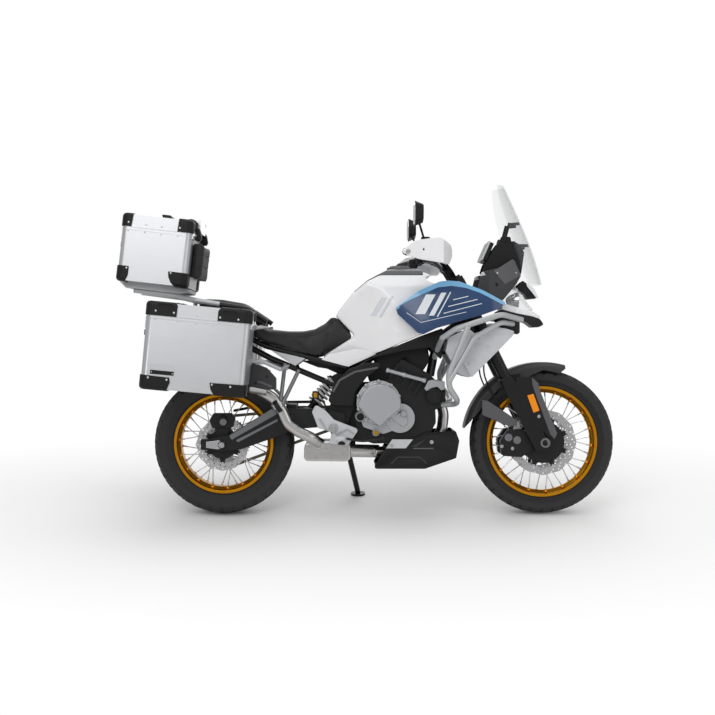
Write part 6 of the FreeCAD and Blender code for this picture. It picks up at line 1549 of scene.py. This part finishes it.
def make_controls():
    dressed_moulding("handguards", 2.4, 3)
    for side, side_name in SIDES:
        make_bar_end(side, side_name)
    for name, stations, finish in (("fluid_reservoir", RESERVOIR_CUP, "lens_clear"),
                                   ("fluid_reservoir_lid", RESERVOIR_LID, "plastic_black")):
        round_on(name, stations, RESERVOIR_FOOT, (0, 0, 1), 32, "handlebar", finish)
    dressed_moulding("mirrors", 2.2, 3)
    for side, side_name in SIDES:
        rim = [(side * (MIRROR_MIDDLE[0] + GLASS_SHARE * out), MIRROR_MIDDLE[1] + GLASS_SHARE * up)
               for out, up in MIRROR_RIM]
        glass = plate("mirror_glass_" + side_name, rim, -858, -853.5)
        glass.data.transform(Matrix.Rotation(math.radians(90), 4, "Z"))
        put_on(bevelled(face_outwards(glass), 0.8), "mirrors", "mirror_glass")
    dressed_sheet("display", 2.5, finish="plastic_black")
    plate_on("display_bezel", BEZEL, (-86, 86), 2.5, 3, "display", "plastic_silver")
    plate_on("display_screen", SCREEN, (-79, 79), 0.6, 2, "display", "glass_black")


# sewn seams along the flanks of the seats, and the channels across the case's backrest
SEAT_SEAM = ((143, 848), (209, 814), (296, 804), (366, 804), (418, 813), (463, 836), (512, 884))
REAR_SEAT_SEAM = ((-112, 955), (0, 948), (104, 929), (186, 878))
PAD_CHANNELS = (((-160, 1118), (-70, 1126)), ((-160, 1170), (-70, 1178)))
# voxel, smoothing passes, shrink and reach of the cloth, lines and width of the seams, where they start
Cushion = namedtuple("Cushion", "voxel passes shrink reach lines width seam_start")
CUSHIONS = {"seat": Cushion(6, 4, 4, 7, (SEAT_SEAM,), 3.4, 40),
            "rear_seat": Cushion(6, 8, 6, 8, (REAR_SEAT_SEAM,), 3.4, 40),
            "top_case_pad": Cushion(5, 4, 4, 6, PAD_CHANNELS, 4, 0.5)}
SEAM_DEPTH = 2.2


def make_seats():
    for node, form in CUSHIONS.items():
        start = moulded_copy(node, form.voxel, form.passes)
        cushion = stuffed(start, form.shrink, form.reach)
        seams = tuple(stripe(line, form.width) for line in form.lines)
        scored(cushion, seams, (form.seam_start, 200), SEAM_DEPTH)
        stand_for(cushion, node)


TAIL_LENS = ((-226, 958), (-217, 960), (-210, 929), (-219, 928))
INDICATOR = ((-239, 771), (-228, 771), (-228, 750), (-239, 749))
NUMBER_PLATE = ((-269, 737), (-263, 738), (-334, 606), (-340, 605))
GRAB_RAILS = ((-5, 1000), (260, 1000), (260, 845), (-5, 880))


def make_tail():
    dressed_moulding("tail_cover", 3.2, 5)
    node = "tail_lamp"
    dressed_sheet(node, 1.5, finish="plastic_black")
    plate_on("tail_lens", TAIL_LENS, (-56, 56), 2, 3, node, "lens_red")
    for side, side_name in SIDES:
        plate_on("tail_indicator_" + side_name, INDICATOR, across(side, 70, 108), 2, 3, node,
                 "lens_amber")
    plate_on("number_plate_blank", NUMBER_PLATE, (-84, 84), 0.5, 2, node, "paint_white")
    # the passenger's grab rails are black ahead of the silver rack
    rack = dressed_sheet("rack", 0.6)
    inlays("grab_rail_coat", rack, (GRAB_RAILS,), (0.5, 300), "rack", "powder_black", 0.5)


CHAIN_Y = 94
CHAIN_PITCH = 15.875
# distances of the link plates from the chain's middle, for inner and outer links, their end radius
LINK_PLATES = ((5.2, 6.8), (7.2, 8.8))
LINK_RADIUS = 6.6
ROLLER_RADIUS = 4.6
ROLLER_HALF = 5.4
# middle and pitch radius of the rear and the front sprocket
SPROCKETS = ((Vector((0, REAR_TYRE_RADIUS)), 116.3), (Vector((566, 450)), 40.7))


def chain_pins():
    """Where the pins of the chain lie round its two sprockets, as (x, z)."""
    (rear, rear_radius), (front, front_radius) = SPROCKETS
    along = (front - rear).normalized()
    rise = math.atan2(along.y, along.x)
    spread = math.acos((rear_radius - front_radius) / (front - rear).length)
    route = [rear + rear_radius * Vector((math.cos(rise + spread), math.sin(rise + spread)))]
    for middle, radius, start, end in ((front, front_radius, rise + spread, rise - spread),
                                       (rear, rear_radius, rise - spread, rise + spread - 2 * math.pi)):
        steps = max(8, int(radius * abs(end - start) / 2))
        for step in range(steps + 1):
            angle = start + (end - start) * step / steps
            route.append(middle + radius * Vector((math.cos(angle), math.sin(angle))))
    lengths = [(b - a).length for a, b in zip(route, route[1:])]
    count = 2 * round(sum(lengths) / CHAIN_PITCH / 2)
    spacing = sum(lengths) / count
    pins = []
    wanted = 0
    passed = 0
    for a, b, length in zip(route, route[1:], lengths):
        while wanted < passed + length and len(pins) < count:
            pins.append(a.lerp(b, (wanted - passed) / length))
            wanted += spacing
        passed += length
    return pins


def link_outline(first, second, radius):
    """The outline of a link plate round two pins."""
    heading = math.atan2(second.y - first.y, second.x - first.x)
    points = []
    for middle, start in ((second, heading - math.pi / 2), (first, heading + math.pi / 2)):
        for step in range(5):
            angle = start + math.pi * step / 4
            points.append((middle.x + radius * math.cos(angle), middle.y + radius * math.sin(angle)))
    return points


def make_chain():
    pins = chain_pins()
    pieces = []
    for index, (first, second) in enumerate(zip(pins, pins[1:] + pins[:1])):
        inner, outer = LINK_PLATES[index % 2]
        outline = link_outline(first, second, LINK_RADIUS)
        for side in (-1, 1):
            low, high = sorted((CHAIN_Y + side * inner, CHAIN_Y + side * outer))
            pieces.append(plate("link", outline, low, high))
        ends = [(first.x, CHAIN_Y + reach, first.y) for reach in (-ROLLER_HALF, ROLLER_HALF)]
        pieces.append(rod("roller", ROLLER_RADIUS, *ends, 0.6, 10))
    stand_for(joined("chain_links", pieces), "chain", "chain_steel")


# white panels that close the body between the seat and the frame
LOWER_PANEL = ((448, 703), (568, 671), (694, 728), (668, 745), (600, 752), (482, 728))
INTAKE_BOX = ((668, 716), (742, 748), (862, 772), (925, 768), (938, 700), (905, 650), (830, 650),
              (790, 604), (740, 592), (664, 600), (652, 640), (690, 692))
UNDER_SEAT_BOX = ((353, 698), (463, 706), (596, 706), (654, 716), (600, 668), (560, 640), (520, 640),
                  (470, 662), (430, 668))


def make_inner_boxes():
    """The intake box over the engine and the battery box under the seat."""
    plate_on("intake_box", INTAKE_BOX, (-92, 92), 8, 3, "frame", "plastic_black")
    plate_on("battery_box", UNDER_SEAT_BOX, (-66, 66), 6, 3, "frame", "plastic_black")


def make_lower_panels():
    for side, side_name in SIDES:
        plate_on("lower_panel_" + side_name, LOWER_PANEL, across(side, 129, 134), 2, 3, "fuel_tank",
                 "paint_white")


def make_body():
    for make in (make_inner_boxes, make_chain, make_lower_panels, make_tank, make_side_panels,
                 make_nose, make_engine_covers, make_engine_head, make_skid_plate,
                 make_radiator_covers, make_swingarm, make_shock, make_frame_fittings, make_exhaust,
                 make_footrests, make_front_end, make_controls, make_seats, make_tail):
        make()


make_body()


def finish_remaining_nodes():
    """CAD nodes whose shape stays get the finish of their slot."""
    for node, obj in frame["nodes"].items():
        if obj.hide_render:
            continue
        obj.data.materials.clear()
        obj.data.materials.append(MATERIALS[SLOT_FINISH[NODE_SLOT[node]]])


finish_remaining_nodes()


# ---------------------------------------------------------------- studio

# in the bike's own frame: where it is seen from, and the width taken in at its middle
CAMERA_PLACE = Vector((609.5, -5500, 713))
VIEW_WIDTH = 3289
SENSOR = 36.0
LAMP_AIM = Vector((0, 0, 0.6))
# lamp: place, size, power
LAMPS = {"key": ((-1.6, -3.6, 3.6), 3.0, 66), "fill": ((3.4, -2.6, 2.0), 3.0, 26),
         "top": ((0.2, 0.4, 4.2), 3.6, 52), "back": ((0.4, 3.8, 2.6), 3.2, 50)}
WHITE = (1, 1, 1, 1)
FLOOR_HALF = 14.0


def make_camera():
    """A view square to the bike's right side, which leans with it and so looks a little down."""
    data = bpy.data.cameras.new("Camera")
    data.sensor_width = SENSOR
    data.lens = SENSOR * -CAMERA_PLACE.y / VIEW_WIDTH
    data.clip_end = 50
    camera = bpy.data.objects.new("Camera", data)
    bpy.context.collection.objects.link(camera)
    camera.matrix_world = (Matrix.Translation(LEANED @ CAMERA_PLACE) @ Matrix.Rotation(-LEAN, 4, "X")
                           @ Matrix.Rotation(math.radians(90), 4, "X"))
    bpy.context.scene.camera = camera


def make_world():
    """Soft even light on the object, white where it is looked at or through."""
    world = bpy.data.worlds.new("Studio")
    bpy.context.scene.world = world
    world.use_nodes = True
    world.node_tree.nodes.clear()
    path = add_node(world, "ShaderNodeLightPath", {}, {})
    soft = add_node(world, "ShaderNodeBackground", {"Color": WHITE, "Strength": 0.5}, {})
    white = add_node(world, "ShaderNodeBackground", {"Color": WHITE, "Strength": 1.0}, {})
    seen = add_node(world, "ShaderNodeMath", {"operation": "MAXIMUM"},
                    {0: (path, "Is Camera Ray"), 1: (path, "Is Transmission Ray")})
    mix = add_node(world, "ShaderNodeMixShader", {}, {"Fac": (seen, 0), 1: (soft, 0), 2: (white, 0)})
    add_node(world, "ShaderNodeOutputWorld", {}, {"Surface": (mix, 0)})


def make_lamps():
    for name, (place, size, power) in LAMPS.items():
        data = bpy.data.lights.new(name, "AREA")
        data.size = size
        data.energy = power
        lamp = bpy.data.objects.new(name, data)
        lamp.location = place
        lamp.rotation_euler = (LAMP_AIM - Vector(place)).to_track_quat("-Z", "Y").to_euler()
        bpy.context.collection.objects.link(lamp)


def make_floor():
    """A pale floor that keeps the shadow under the machine and runs out to white."""
    corners = [(x * FLOOR_HALF, y * FLOOR_HALF, 0) for x, y in ((-1, -1), (1, -1), (1, 1), (-1, 1))]
    floor = from_points("floor", corners, ((0, 1, 2, 3),))
    material, shader, place = new_material("studio_floor")
    shader.inputs["Base Color"].default_value = linear("F4F4F4")
    shader.inputs["Roughness"].default_value = 0.9
    oval = add_node(material, "ShaderNodeMapping", {"Scale": (0.55, 1.0, 1.0)},
                    {"Vector": (place, "Object")})
    reach = add_node(material, "ShaderNodeVectorMath", {"operation": "LENGTH"},
                     {"Vector": (oval, "Vector")})
    fade = add_node(material, "ShaderNodeMapRange", {"From Min": 0.4, "From Max": 1.5},
                    {"Value": (reach, "Value")})
    path = add_node(material, "ShaderNodeLightPath", {}, {})
    gate = add_node(material, "ShaderNodeMath", {"operation": "MULTIPLY"},
                    {0: (fade, "Result"), 1: (path, "Is Camera Ray")})
    glow = add_node(material, "ShaderNodeEmission", {"Strength": 1.0}, {})
    mix = add_node(material, "ShaderNodeMixShader", {}, {0: (gate, 0), 1: (shader, 0), 2: (glow, 0)})
    link(material, mix, 0, material.node_tree.nodes["Material Output"], "Surface")
    floor.data.materials.append(material)


make_camera()
make_world()
make_lamps()
make_floor()
bpy.context.scene.view_settings.view_transform = "Standard"
